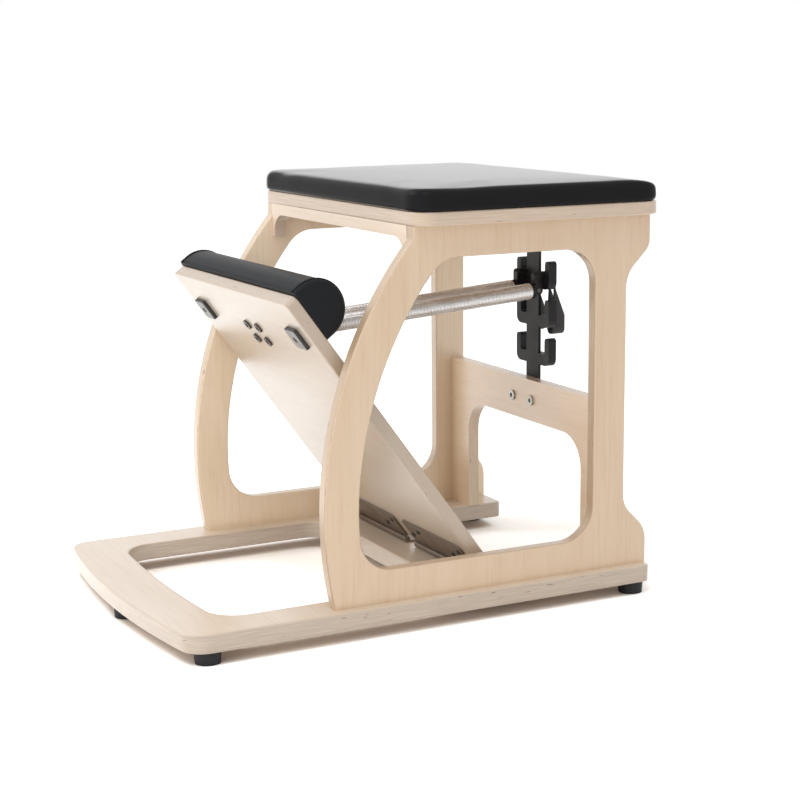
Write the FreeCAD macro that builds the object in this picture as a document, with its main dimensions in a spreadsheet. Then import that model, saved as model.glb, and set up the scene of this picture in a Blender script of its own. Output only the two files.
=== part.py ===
import FreeCAD, Part
import Sketcher
import math
import os

# A pilates chair with one spring-loaded pedal. Millimetres, +Z up, front of the chair towards -Y.
# The origin lies on the floor, under the middle of the chair's footprint.

SIZES = {
    # Plywood and the levels of the frame
    "ply": 19.0,
    "base_ply": 26.0,
    "edge_round": 2.5,
    "foot_height": 18.0,
    "seat_height": 616.0,
    "cushion_height": 34.0,
    "frame_width": 502.0,
    # Base board: a front ring, a hinge sill and two open runners
    "base_margin": 16.0,
    "base_front": 380.0,
    "base_rear": 367.5,
    "front_bow": 24.0,
    "front_bar": 78.0,
    "opening_bow": 10.0,
    "opening_lip": 28.0,
    "sill_front": 56.5,
    "sill_rear": 174.5,
    "bay_lip": 60.0,
    "base_corner": 34.0,
    "runner_corner": 10.0,
    "opening_corner": 46.0,
    # Side panels
    "panel_foot_front": 141.5,
    "panel_top_front": 17.5,
    "panel_brow": 18.0,
    "panel_front_radius": 580.0,
    "front_leg": 53.0,
    "panel_rear": 368.5,
    "waist": 39.5,
    "rear_leg": 53.5,
    "heel_height": 52.0,
    "shoulder_height": 47.0,
    "bottom_rail": 47.0,
    "top_rail": 45.0,
    "panel_opening_corner": 50.0,
    "heel_round": 40.0,
    "waist_round": 46.0,
    "shoulder_round": 24.0,
    "brow_round": 12.0,
    # Cross pieces
    "brace_setback": 6.0,
    "brace_clearance": 22.0,
    "brace_beam": 65.0,
    "brace_corner": 50.0,
    "apron_beam": 17.0,
    "apron_leg": 52.0,
    "apron_leg_width": 8.0,
    "apron_corner": 30.0,
    # Seat
    "seat_overhang": 18.0,
    "seat_front": 18.5,
    "seat_rear": 380.0,
    "seat_corner": 30.0,
    "cushion_overhang": 4.0,
    "cushion_crown": 3.0,
    "cushion_round": 15.0,
    "cushion_tuck": 6.0,
    "crown_edge": 22.0,
    "crown_inset": 110.0,
    "cushion_fall": 19.0,
    "cushion_fall_length": 70.0,
    # Feet
    "foot_top_radius": 19.0,
    "foot_floor_radius": 17.5,
    "foot_inset": 22.0,
    "foot_front_inset": 30.0,
    "foot_rear_inset": 21.0,
    "foot_recess_radius": 8.0,
    "foot_recess_depth": 8.0,
    "foot_screw_head_radius": 6.0,
    "foot_screw_head": 3.2,
    "foot_middle_inset": 24.0,
    # Pedal, measured along the board from the hinge axis
    "hinge_axis_y": 107.5,
    "hinge_offset": 5.0,
    "pedal_tilt": 53.7,
    "pedal_gap": 14.0,
    "pedal_start": 4.0,
    "pedal_reach": 512.0,
    "pedal_corner": 10.0,
    "pad_flat": 84.0,
    "pad_overhang": 6.0,
    "pad_side": 13.0,
    "pad_end_round": 5.0,
    "bumper_width": 36.0,
    "bumper_length": 35.0,
    "bumper_height": 6.0,
    "bumper_round": 2.0,
    "bumper_corner": 4.0,
    "bumper_recess": 3.0,
    "bumper_inset": 46.0,
    "bumper_reach": 448.0,
    # Hinges
    "hinge_inset": 19.0,
    "hinge_gap": 30.0,
    "leaf_width": 51.0,
    "leaf_thickness": 3.0,
    "leaf_corner": 8.0,
    "leaf_relief": 0.5,
    "knuckle_radius": 4.7,
    "knuckle_gap": 0.4,
    "pin_radius": 2.5,
    "hinge_screw_end": 14.0,
    "hinge_screw_pair": 30.0,
    "hinge_screw_near": 23.0,
    "hinge_screw_far": 37.0,
    # Spring anchor on the pedal
    "anchor_width": 84.0,
    "anchor_start": 381.0,
    "anchor_end": 453.0,
    "anchor_thickness": 4.0,
    "anchor_bolt_spread": 40.0,
    "anchor_bolt_pitch": 26.0,
    "anchor_bolt_reach": 427.0,
    "eye_reach": 400.0,
    "eye_stand": 48.0,
    "ear_radius": 9.0,
    "ear_thickness": 4.0,
    # Springs
    "spring_radius": 12.5,
    "wire": 3.2,
    "spring_turns": 48.0,
    "spring_lead": 7.0,
    "cap_radius": 12.0,
    "front_cap_start": 20.0,
    "front_cap_length": 12.0,
    "rear_cap_start": 8.0,
    "rear_cap_length": 5.0,
    "tongue": 6.0,
    "tongue_radius": 7.0,
    "pivot_radius": 3.0,
    # Spring tree
    "tree_thickness": 4.5,
    "tree_post": 36.0,
    "tree_slot": 18.0,
    "tree_lobe": 12.0,
    "tree_flange_width": 92.0,
    "tree_flange_drop": 58.0,
    "tree_flange_lift": 6.0,
    "tree_top_gap": 5.0,
    "top_hook_depth": 131.0,
    "hook_pitch": 60.0,
    "hook_block": 14.0,
    "hook_floor": 18.0,
    "hook_height": 44.0,
    "lobe_round": 5.5,
    "lobe_heel": 12.0,
    "slot_round": 4.0,
    # Spring hooks and pull straps
    "hook_plate": 12.0,
    "hook_bar": 9.0,
    "hook_arm": 14.0,
    "hook_drop": 19.0,
    "hook_nose": 8.5,
    "hook_round": 4.9,
    "hook_end": 4.0,
    "fork_room": 1.5,
    "crossbar_radius": 5.0,
    "crossbar_length": 26.0,
    "hook_tail": 2.0,
    "tail_drop": 16.0,
    "strap_hole": 3.6,
    "strap_length": 80.0,
    "strap_width": 22.0,
    "strap_web": 2.4,
    "strap_neck": 6.0,
    "strap_shoulder": 8.0,
    "strap_taper": 50.0,
    # Fasteners and fits
    "bolt_radius": 4.0,
    "bolt_head_radius": 8.0,
    "bolt_head": 3.0,
    "bolt_end": 2.0,
    "nut_height": 5.0,
    "pin_end": 0.5,
    "brace_bolt_spread": 56.0,
    "brace_bolt_drop": 32.0,
    "rail_height": 45.0,
    "rail_bolt_radius": 3.0,
    "rail_bolt_head_radius": 6.0,
    "rail_bolt_pitch": 18.0,
    "screw_radius": 2.5,
    "screw_head_radius": 4.5,
    "screw_head": 1.6,
    "screw_depth": 14.0,
    "panel_screw_radius": 3.5,
    "panel_screw_head_radius": 7.0,
    "panel_screw_head": 5.0,
    "panel_screw_depth": 45.0,
    "panel_screw_front": 67.5,
    "panel_screw_rear": 302.5,
    "seat_screw_front": 32.5,
    "seat_screw_rear": 332.5,
    "dowel_radius": 5.0,
    "dowel_in_panel": 12.0,
    "dowel_in_rail": 28.0,
    "dowel_margin": 14.0,
    "fit": 0.05,
    "seat_gap": 0.3,
    "hole_slack": 0.2,
    "over_cut": 1.0,
}


class Size:
    """A length together with the sheet expression that gives it."""

    def __init__(self, value, text):
        self.value = value
        self.text = text

    def __add__(self, other):
        other = as_size(other)
        return Size(self.value + other.value, f"({self.text} + {other.text})")

    def __sub__(self, other):
        other = as_size(other)
        return Size(self.value - other.value, f"({self.text} - {other.text})")

    def __mul__(self, other):
        other = as_size(other)
        return Size(self.value * other.value, f"({self.text} * {other.text})")

    def __truediv__(self, other):
        other = as_size(other)
        return Size(self.value / other.value, f"({self.text} / {other.text})")

    def __radd__(self, other):
        return as_size(other) + self

    def __rsub__(self, other):
        return as_size(other) - self

    def __rmul__(self, other):
        return as_size(other) * self

    def __neg__(self):
        return Size(-self.value, f"(-{self.text})")


def as_size(number):
    return number if isinstance(number, Size) else Size(float(number), repr(float(number)))


def cosine(angle):
    return Size(math.cos(math.radians(angle.value)), f"cos({angle.text} * 1 deg)")


def sine(angle):
    return Size(math.sin(math.radians(angle.value)), f"sin({angle.text} * 1 deg)")


def root(area):
    return Size(math.sqrt(area.value), f"sqrt({area.text})")


def slope_angle(rise, run):
    degrees = math.degrees(math.atan2(rise.value, run.value))
    return Size(degrees, f"(atan2({rise.text}; {run.text}) / 1 deg)")


doc = FreeCAD.newDocument("pilates_chair")
sheet = doc.addObject("Spreadsheet::Sheet", "sizes")
for row, (alias, number) in enumerate(SIZES.items(), start=1):
    sheet.set(f"A{row}", alias)
    sheet.set(f"B{row}", str(number))
    sheet.setAlias(f"B{row}", alias)
doc.recompute()


def size(alias):
    return Size(float(sheet.get(alias)), f"sizes.{alias}")


def worked_out(alias, length):
    """Writes a length that follows from others into the sheet, under a name of its own."""
    row = len(SIZES) + 1 + len(WORKED_OUT)
    WORKED_OUT.append(alias)
    sheet.set(f"A{row}", alias)
    sheet.set(f"B{row}", "=" + length.text.replace("sizes.", ""))
    sheet.setAlias(f"B{row}", alias)
    doc.recompute()
    return size(alias)


WORKED_OUT = []
PIECES = []


def bind(thing, name, length):
    thing.setExpression(name, as_size(length).text)


def place(thing, x=0, y=0, z=0):
    for axis, length in zip("xyz", (x, y, z)):
        bind(thing, f"Placement.Base.{axis}", length)


def turn(thing, angle):
    """Turns a piece about the X axis by an angle in degrees."""
    angle = as_size(angle)
    thing.Placement.Rotation = FreeCAD.Rotation(FreeCAD.Vector(1, 0, 0), angle.value)
    bind(thing, "Placement.Rotation.Angle", angle)


def finished(thing, label):
    thing.Label = label
    PIECES.append(thing)
    return thing


# Sketches, pads, cuts and rounds of a body

def new_body(label):
    return finished(doc.addObject("PartDesign::Body", label), label)


def new_sketch(body, plane, lift=0):
    """A sketch on one of the body's own planes, lifted along that plane's normal."""
    sketch = body.newObject("Sketcher::SketchObject", "Outline")
    support = [f for f in body.Origin.OriginFeatures if f.Role == f"{plane}_Plane"][0]
    sketch.AttachmentSupport = [(support, "")]
    sketch.MapMode = "FlatFace"
    bind(sketch, "AttachmentOffset.Base.z", lift)
    return sketch


def number_of(length):
    return as_size(length).value


def vector(point):
    return FreeCAD.Vector(number_of(point[0]), number_of(point[1]), 0)


def hold(sketch, edge, end, point):
    """Pins one end of a sketch edge to the two lengths of a point."""
    for kind, length in zip(("DistanceX", "DistanceY"), point):
        length = as_size(length)
        index = sketch.addConstraint(Sketcher.Constraint(kind, -1, 1, edge, end, length.value))
        sketch.setExpression(f"Constraints[{index}]", length.text)


def hold_radius(sketch, edge, radius):
    index = sketch.addConstraint(Sketcher.Constraint("Radius", edge, number_of(radius)))
    sketch.setExpression(f"Constraints[{index}]", as_size(radius).text)


LEFT, RIGHT = 1, -1


def bulged_arc(first, last, radius, side):
    """The arc of that radius from first to last, bulging to one side of the way between them."""
    chord = last - first
    across = FreeCAD.Vector(-chord.y, chord.x, 0).normalize() * side
    reach = math.sqrt(max(radius ** 2 - (chord.Length / 2) ** 2, 0))
    middle = (first + last) / 2 + across * (radius - reach)
    return Part.Arc(first, middle, last)


def loop(sketch, corners):
    """A closed outline. A corner is (x, y), or (x, y, radius, side) where an arc leads on to the next."""
    for corner, following in zip(corners, corners[1:] + corners[:1]):
        first, last = vector(corner), vector(following)
        if len(corner) == 2:
            edge = sketch.addGeometry(Part.LineSegment(first, last))
        else:
            edge = sketch.addGeometry(bulged_arc(first, last, number_of(corner[2]), corner[3]))
            hold_radius(sketch, edge, corner[2])
        forward = sketch.getPoint(edge, 1).distanceToPoint(first) < 0.001
        hold(sketch, edge, 1 if forward else 2, corner[:2])
        hold(sketch, edge, 2 if forward else 1, following[:2])


def box_loop(sketch, left, low, right, high):
    loop(sketch, [(left, low), (right, low), (right, high), (left, high)])


def circles(sketch, centres, radius):
    for centre in centres:
        circle = Part.Circle(vector(centre), FreeCAD.Vector(0, 0, 1), number_of(radius))
        edge = sketch.addGeometry(circle)
        hold(sketch, edge, 3, centre)
        hold_radius(sketch, edge, radius)


def pad(body, sketch, length, flip=False):
    """Material along the sketch's normal, or against it with flip."""
    feature = body.newObject("PartDesign::Pad", "Pad")
    feature.Profile = sketch
    feature.Reversed = flip
    bind(feature, "Length", length)


def pocket(body, sketch, depth, flip=False):
    """A cut against the sketch's normal, or along it with flip."""
    feature = body.newObject("PartDesign::Pocket", "Pocket")
    feature.Profile = sketch
    feature.Reversed = flip
    bind(feature, "Length", depth)


def drill(body, plane, lift, centres, radius, depth, flip=False):
    sketch = new_sketch(body, plane, lift)
    circles(sketch, centres, radius)
    pocket(body, sketch, depth, flip)


def fillet(body, names, radius):
    feature = body.newObject("PartDesign::Fillet", "Round")
    feature.Base = (feature.BaseFeature, names)
    bind(feature, "Radius", radius)


def round_corners(body, axis, corners, radius):
    """Rounds the straight edges along an axis (0, 1 or 2) that pass through the given corners."""
    doc.recompute()
    others = [i for i in range(3) if i != axis]
    names = []
    for index, edge in enumerate(body.Tip.Shape.Edges, start=1):
        middle = edge.BoundBox.Center
        if edge.BoundBox.DiagonalLength - [edge.BoundBox.XLength, edge.BoundBox.YLength,
                                           edge.BoundBox.ZLength][axis] > 0.01:
            continue
        for corner in corners:
            spot = vector(corner)
            if math.hypot(middle[others[0]] - spot.x, middle[others[1]] - spot.y) < 0.05:
                names.append(f"Edge{index}")
    if len(names) < len(corners):
        raise RuntimeError(f"{body.Label}: {len(names)} edges for {len(corners)} corners")
    fillet(body, names, radius)


def round_rims(body, axis, radius, sharp=()):
    """Rounds the rims of the two broad faces across an axis, save those on a sharp (axis, place)."""
    doc.recompute()
    shape = body.Tip.Shape
    low = [shape.BoundBox.XMin, shape.BoundBox.YMin, shape.BoundBox.ZMin][axis]
    high = [shape.BoundBox.XMax, shape.BoundBox.YMax, shape.BoundBox.ZMax][axis]
    names = []
    for index, edge in enumerate(shape.Edges, start=1):
        box = edge.BoundBox
        least = (box.XMin, box.YMin, box.ZMin)
        most = (box.XMax, box.YMax, box.ZMax)
        on_rim = any(abs(least[axis] - z) < 0.01 and abs(most[axis] - z) < 0.01 for z in (low, high))
        kept = any(abs(least[a] - number_of(at)) < 0.01 and abs(most[a] - number_of(at)) < 0.01
                   for a, at in sharp)
        if on_rim and not kept:
            names.append(f"Edge{index}")
    fillet(body, names, radius)


# Round stock and fasteners

def cylinder(radius, height):
    rod = doc.addObject("Part::Cylinder", "Rod")
    bind(rod, "Radius", radius)
    bind(rod, "Height", height)
    return rod


def joined(things):
    union = doc.addObject("Part::MultiFuse", "Joined")
    union.Shapes = things
    return union


def minus(thing, tool, label="Cut"):
    cut = doc.addObject("Part::Cut", label)
    cut.Base = thing
    cut.Tool = tool
    return cut


def group(label, things):
    compound = doc.addObject("Part::Compound", label)
    compound.Links = things
    return finished(compound, label)


def fastener(head_radius, head, radius, length, socket=None):
    """A headed fastener that points up, with the underside of its head at the origin."""
    top = cylinder(head_radius, head)
    place(top, z=-as_size(head))
    whole = joined([top, cylinder(radius, length)])
    if socket is None:
        return whole
    key = doc.addObject("Part::Prism", "Socket")
    key.Polygon = 6
    bind(key, "Circumradius", socket)
    bind(key, "Height", head * 0.7)
    place(key, z=-as_size(head))
    return minus(whole, key)


def fasteners(label, spots, angle, *shape):
    """A group of equal fasteners, each with the underside of its head at a spot."""
    row = []
    for spot in spots:
        one = fastener(*shape)
        place(one, *spot)
        turn(one, angle)
        row.append(one)
    return group(label, row)


def rods_across(label, spots, radius, length):
    """A group of round rods along X, each centred on a spot."""
    row = []
    for x, y, z in spots:
        rod = cylinder(radius, length)
        rod.Placement.Rotation = FreeCAD.Rotation(FreeCAD.Vector(0, 1, 0), 90)
        place(rod, x - length / 2, y, z)
        row.append(rod)
    return group(label, row)


POINTS_UP, POINTS_DOWN, POINTS_BACK = 0, 180, -90

# Levels and planes that several pieces share

ply = size("ply")
base_ply = size("base_ply")
fit = size("fit")
seat_gap = size("seat_gap")
slack = size("hole_slack")
over_cut = size("over_cut")
base_top = worked_out("base_top", size("foot_height") + base_ply)
panel_top = worked_out("panel_top", size("seat_height") - size("cushion_height") - ply)
seat_top = worked_out("seat_board_top", panel_top + ply)
panel_inside = worked_out("panel_inside", size("frame_width") / 2 - ply)
half_base = worked_out("half_base", size("frame_width") / 2 + size("base_margin"))
half_seat = worked_out("half_seat", size("frame_width") / 2 + size("seat_overhang"))
half_opening = worked_out("half_opening", panel_inside - size("opening_lip"))
half_bay = worked_out("half_bay", panel_inside - size("bay_lip"))
half_pedal = worked_out("half_pedal", panel_inside - size("pedal_gap"))
hinge_length = worked_out("hinge_length", half_pedal - size("hinge_gap") / 2 - size("hinge_inset"))
panel_middle = panel_inside + ply / 2
waist_rear = worked_out("waist_rear", size("panel_rear") - size("waist"))
brace_rear = worked_out("brace_rear", waist_rear - size("brace_setback"))
top_hook = worked_out("top_hook", panel_top - size("top_hook_depth"))
low_hook = worked_out("low_hook", top_hook - 2 * size("hook_pitch"))
brace_top = worked_out("brace_top", low_hook - size("brace_clearance"))
tree_rear = worked_out("tree_rear", brace_rear + size("tree_thickness"))
block_rear = worked_out("block_rear", brace_rear + size("hook_block"))
hinge_y = size("hinge_axis_y")
hinge_z = worked_out("hinge_axis_z", base_top + size("hinge_offset"))
tilt = size("pedal_tilt")
spring_x = (size("tree_post") + size("tree_slot")) / 2
hinge_starts = {"left": size("hinge_gap") / 2, "right": -size("hinge_gap") / 2 - hinge_length}
SIDES = {"left": 1, "right": -1}

# The spring runs from the pivot of its hook to the eye on the pedal.
hook_floor = worked_out("top_hook_floor", top_hook + size("hook_floor"))
tail_y = worked_out("spring_tail_y", brace_rear - size("hook_nose"))
tail_z = worked_out("spring_tail_z", hook_floor - size("hook_drop"))
reach, stand = size("eye_reach"), size("eye_stand")
eye_y = worked_out("spring_eye_y", hinge_y - reach * cosine(tilt) + stand * sine(tilt))
eye_z = worked_out("spring_eye_z", hinge_z + reach * sine(tilt) + stand * cosine(tilt))
spring_run = worked_out("spring_run", tail_y - eye_y)
spring_rise = worked_out("spring_rise", tail_z - eye_z)
spring_slope = worked_out("spring_slope", slope_angle(spring_rise, spring_run))
spring_span = worked_out("spring_span", root(spring_run * spring_run + spring_rise * spring_rise))


def on_pedal(thing, x=0):
    """Places a piece that was drawn with the pedal lying flat, by its hinge axis and its tilt."""
    place(thing, x, hinge_y, hinge_z)
    turn(thing, -tilt)


# Places of the fasteners, each used for the hole and for what goes into it

foot_x = half_base - size("foot_inset")
front_corner = size("base_front") - size("front_bow")
FEET = {
    "front_left_foot": (foot_x, size("foot_front_inset") - front_corner),
    "front_right_foot": (-foot_x, size("foot_front_inset") - front_corner),
    "front_middle_foot": (as_size(0), size("foot_middle_inset") - size("base_front")),
    "rear_left_foot": (foot_x, size("base_rear") - size("foot_rear_inset")),
    "rear_right_foot": (-foot_x, size("base_rear") - size("foot_rear_inset")),
}
panel_screw_ys = [-size("panel_screw_front"),
                  (size("panel_screw_rear") - size("panel_screw_front")) / 2,
                  size("panel_screw_rear")]
seat_screw_ys = [size("seat_screw_front"),
                 (size("seat_screw_front") + size("seat_screw_rear")) / 2,
                 size("seat_screw_rear")]


def hinge_screw_spots():
    """Places on a leaf from its own end and from the axis, staggered in two pairs."""
    first = size("hinge_screw_end")
    last = hinge_length - first
    pair = size("hinge_screw_pair")
    near, far = size("hinge_screw_near"), size("hinge_screw_far")
    return [(first, near), (first + pair, far), (last - pair, near), (last, far)]


hinge_screws = [(start + x, y) for start in hinge_starts.values() for x, y in hinge_screw_spots()]
bumper_x = half_pedal - size("bumper_inset")
anchor_bolts = [(x * size("anchor_bolt_spread") / 2,
                 y * size("anchor_bolt_pitch") / 2 - size("anchor_bolt_reach"))
                for x in (-1, 1) for y in (-1, 1)]
brace_bolts = [(x * size("brace_bolt_spread") / 2, brace_top - size("brace_bolt_drop")) for x in (-1, 1)]
rail_middle = panel_top - size("rail_height") / 2
rail_bolts = [(as_size(0), rail_middle + z * size("rail_bolt_pitch") / 2) for z in (-1, 1)]
brace_dowels = [brace_top - size("brace_beam") + size("dowel_margin"), brace_top - size("dowel_margin")]
rail_dowels = [panel_top - size("rail_height") + size("dowel_margin"), panel_top - size("dowel_margin")]
apron_dowels = [panel_top - size("apron_beam") / 2]
brace_middle_y = brace_rear - ply / 2
apron_middle_y = ply / 2 - size("panel_top_front")
dowels_on_panel = [(brace_middle_y, z) for z in brace_dowels + rail_dowels]
dowels_on_panel += [(apron_middle_y, z) for z in apron_dowels]

# Base board

base = new_body("base_board")
place(base, z=size("foot_height"))
bow = size("front_bow")
bow_radius = (half_base * half_base + bow * bow) / (2 * bow)
inner_bow = size("opening_bow")
inner_radius = (half_opening * half_opening + inner_bow * inner_bow) / (2 * inner_bow)
opening_front = size("base_front") - size("front_bar") - inner_bow
outline = new_sketch(base, "XY")
loop(outline, [
    (-half_base, -front_corner, bow_radius, RIGHT),
    (half_base, -front_corner),
    (half_base, size("base_rear")),
    (half_bay, size("base_rear")),
    (half_bay, size("sill_rear")),
    (-half_bay, size("sill_rear")),
    (-half_bay, size("base_rear")),
    (-half_base, size("base_rear")),
])
loop(outline, [
    (-half_opening, -opening_front, inner_radius, RIGHT),
    (half_opening, -opening_front),
    (half_opening, size("sill_front")),
    (-half_opening, size("sill_front")),
])
pad(base, outline, base_ply)
round_corners(base, 2, [(-half_base, -front_corner), (half_base, -front_corner)], size("base_corner"))
round_corners(base, 2, [(s * x, size("base_rear")) for s in (-1, 1) for x in (half_base, half_bay)],
              size("runner_corner"))
round_corners(base, 2, [(s * half_opening, y) for s in (-1, 1) for y in (-opening_front, size("sill_front"))],
              size("opening_corner"))
round_corners(base, 2, [(s * half_bay, size("sill_rear")) for s in (-1, 1)], size("opening_corner"))
round_rims(base, 2, size("edge_round"))
panel_screws = [(s * panel_middle, y) for s in (-1, 1) for y in panel_screw_ys]
drill(base, "XY", 0, panel_screws, size("panel_screw_radius") + slack, base_ply, flip=True)
drill(base, "XY", 0, panel_screws, size("panel_screw_head_radius") + slack,
      size("panel_screw_head"), flip=True)
drill(base, "XY", 0, list(FEET.values()), size("screw_radius") + slack, size("screw_depth"), flip=True)
drill(base, "XY", base_ply, [(x, hinge_y + y) for x, y in hinge_screws], size("screw_radius") + slack,
      size("screw_depth"))

# Side panels

foot_front = -size("panel_foot_front")
top_front = -size("panel_top_front")
brow = panel_top - size("panel_brow")
arc_radius = size("panel_front_radius")
chord_y = worked_out("front_chord_y", (foot_front + top_front) / 2)
chord_z = worked_out("front_chord_z", (base_top + brow) / 2)
chord = worked_out("front_chord", root((top_front - foot_front) * (top_front - foot_front)
                                       + (brow - base_top) * (brow - base_top)))
sagitta_reach = worked_out("front_arc_reach", root(arc_radius * arc_radius - chord * chord / 4))
arc_y = worked_out("front_arc_y", chord_y + sagitta_reach * (brow - base_top) / chord)
arc_z = worked_out("front_arc_z", chord_z - sagitta_reach * (top_front - foot_front) / chord)
inner_arc = worked_out("opening_arc", arc_radius - size("front_leg"))
opening_low = worked_out("opening_low", base_top + size("bottom_rail"))
opening_high = worked_out("opening_high", panel_top - size("top_rail"))
opening_rear = worked_out("opening_rear", waist_rear - size("rear_leg"))


def opening_front_at(z):
    return arc_y - root(inner_arc * inner_arc - (z - arc_z) * (z - arc_z))


low_front = worked_out("opening_low_front", opening_front_at(opening_low))
high_front = worked_out("opening_high_front", opening_front_at(opening_high))
heel = base_top + size("heel_height")
shoulder = panel_top - size("shoulder_height")
for side, sign in SIDES.items():
    panel = new_body(f"{side}_side_panel")
    place(panel, x=panel_inside if sign > 0 else -panel_inside - ply)
    outline = new_sketch(panel, "YZ")
    loop(outline, [
        (foot_front, base_top),
        (size("panel_rear"), base_top),
        (size("panel_rear"), heel),
        (waist_rear, heel + size("waist")),
        (waist_rear, shoulder - size("waist")),
        (size("panel_rear"), shoulder),
        (size("panel_rear"), panel_top),
        (top_front, panel_top),
        (top_front, brow, arc_radius, RIGHT),
    ])
    loop(outline, [
        (low_front, opening_low),
        (opening_rear, opening_low),
        (opening_rear, opening_high),
        (high_front, opening_high, inner_arc, RIGHT),
    ])
    pad(panel, outline, ply)
    round_corners(panel, 0, [(size("panel_rear"), heel), (waist_rear, heel + size("waist"))],
                  size("heel_round"))
    round_corners(panel, 0, [(waist_rear, shoulder - size("waist"))], size("waist_round"))
    round_corners(panel, 0, [(size("panel_rear"), shoulder)], size("shoulder_round"))
    round_corners(panel, 0, [(top_front, brow)], size("brow_round"))
    round_corners(panel, 0, [(low_front, opening_low), (opening_rear, opening_low),
                             (opening_rear, opening_high), (high_front, opening_high)],
                  size("panel_opening_corner"))
    round_rims(panel, 0, size("edge_round"), sharp=[(2, base_top), (2, panel_top)])
    drill(panel, "XY", base_top, [(ply / 2, y) for y in panel_screw_ys], size("panel_screw_radius") + slack,
          size("panel_screw_depth"), flip=True)
    drill(panel, "XY", panel_top, [(ply / 2, y) for y in seat_screw_ys], size("screw_radius") + slack,
          size("panel_screw_depth"))
    drill(panel, "YZ", 0 if sign > 0 else ply, dowels_on_panel, size("dowel_radius") + fit,
          size("dowel_in_panel") + slack, flip=sign > 0)

# Cross pieces between the panels


def cross_piece(label, rear, outline_corners, holes, hole_radius, dowel_zs):
    """A board across the chair, drawn from behind, with dowel holes in both ends."""
    body = new_body(label)
    place(body, y=rear)
    outline = new_sketch(body, "XZ")
    loop(outline, outline_corners)
    circles(outline, holes, hole_radius)
    pad(body, outline, ply)
    middle = [(-ply / 2, z) for z in dowel_zs]
    depth = size("dowel_in_rail") + slack
    drill(body, "YZ", panel_inside, middle, size("dowel_radius") + fit, depth)
    drill(body, "YZ", -panel_inside, middle, size("dowel_radius") + fit, depth, flip=True)
    return body


brace_underside = brace_top - size("brace_beam")
brace = cross_piece("rear_brace", brace_rear, [
    (-panel_inside, base_top), (-half_bay, base_top), (-half_bay, brace_underside),
    (half_bay, brace_underside), (half_bay, base_top), (panel_inside, base_top),
    (panel_inside, brace_top), (-panel_inside, brace_top),
], brace_bolts, size("bolt_radius") + slack, brace_dowels)
round_corners(brace, 1, [(-half_bay, brace_underside), (half_bay, brace_underside)], size("brace_corner"))
rail_underside = panel_top - size("rail_height")
cross_piece("rear_rail", brace_rear, [
    (-panel_inside, rail_underside), (panel_inside, rail_underside),
    (panel_inside, panel_top), (-panel_inside, panel_top),
], rail_bolts, size("rail_bolt_radius") + slack, rail_dowels)
apron_side = panel_inside - size("apron_leg_width")
apron_underside = panel_top - size("apron_beam")
apron_low = panel_top - size("apron_leg")
apron = cross_piece("front_apron", top_front + ply, [
    (-panel_inside, apron_low), (-apron_side, apron_low), (-apron_side, apron_underside),
    (apron_side, apron_underside), (apron_side, apron_low), (panel_inside, apron_low),
    (panel_inside, panel_top), (-panel_inside, panel_top),
], [], 0, apron_dowels)
round_corners(apron, 1, [(-apron_side, apron_underside), (apron_side, apron_underside)], size("apron_corner"))

dowel_length = size("dowel_in_panel") + size("dowel_in_rail")
dowel_x = panel_inside + size("dowel_in_panel") - dowel_length / 2
for label, y, levels in (("brace_dowels", brace_middle_y, brace_dowels),
                         ("rail_dowels", brace_middle_y, rail_dowels),
                         ("apron_dowels", apron_middle_y, apron_dowels)):
    spots = [(s * dowel_x, y, z) for s in (-1, 1) for z in levels]
    rods_across(label, spots, size("dowel_radius"), dowel_length)

# Seat

seat = new_body("seat_board")
place(seat, z=panel_top)
outline = new_sketch(seat, "XY")
seat_front = -size("seat_front")
box_loop(outline, -half_seat, seat_front, half_seat, size("seat_rear"))
pad(seat, outline, ply)
round_corners(seat, 2, [(s * half_seat, y) for s in (-1, 1) for y in (seat_front, size("seat_rear"))],
              size("seat_corner"))
round_rims(seat, 2, size("edge_round"))
seat_screws = [(s * panel_middle, y) for s in (-1, 1) for y in seat_screw_ys]
drill(seat, "XY", ply, seat_screws, size("screw_radius") + slack, ply)
drill(seat, "XY", ply, seat_screws, size("screw_head_radius") + slack, size("screw_head") + slack)


# The cushion is tucked in below, rounded above, crowned towards the middle and rolled down at the rear.
cushion = new_body("seat_cushion")
place(cushion, z=seat_top)
half_cushion = half_seat + size("cushion_overhang")
cushion_front = seat_front - size("cushion_overhang")
cushion_rear = size("seat_rear")
crown_start = size("cushion_height") - size("cushion_crown")
outline = new_sketch(cushion, "XY")
box_loop(outline, -half_cushion, cushion_front, half_cushion, cushion_rear)
pad(cushion, outline, crown_start)
round_corners(cushion, 2, [(s * half_cushion, y) for s in (-1, 1) for y in (cushion_front, cushion_rear)],
              size("seat_corner") + size("cushion_overhang"))
round_rims(cushion, 2, size("cushion_round"), sharp=[(2, 0)])
round_rims(cushion, 2, size("cushion_tuck"), sharp=[(2, crown_start)])
swell = []
for level, inset in ((crown_start, size("crown_edge")), (size("cushion_height"), size("crown_inset"))):
    sketch = new_sketch(cushion, "XY", level)
    box_loop(sketch, inset - half_cushion, cushion_front + inset, half_cushion - inset, cushion_rear - inset)
    swell.append(sketch)
crown = cushion.newObject("PartDesign::AdditiveLoft", "Crown")
crown.Profile = swell[0]
crown.Sections = swell[1:]
crown.Ruled = True
fall, fall_length = size("cushion_fall"), size("cushion_fall_length")
fall_start = cushion_rear - fall_length
fall_radius = (fall_length * fall_length + fall * fall) / (2 * fall)
top = size("cushion_height")
outline = new_sketch(cushion, "YZ", -half_cushion - over_cut)
loop(outline, [(fall_start, top), (cushion_rear, top - fall, fall_radius, RIGHT)][::-1] + [
    (fall_start, top + over_cut), (cushion_rear + over_cut, top + over_cut), (cushion_rear + over_cut, top - fall)])
pocket(cushion, outline, half_cushion * 2 + over_cut * 2, flip=True)

# Feet and the frame's screws

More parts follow.
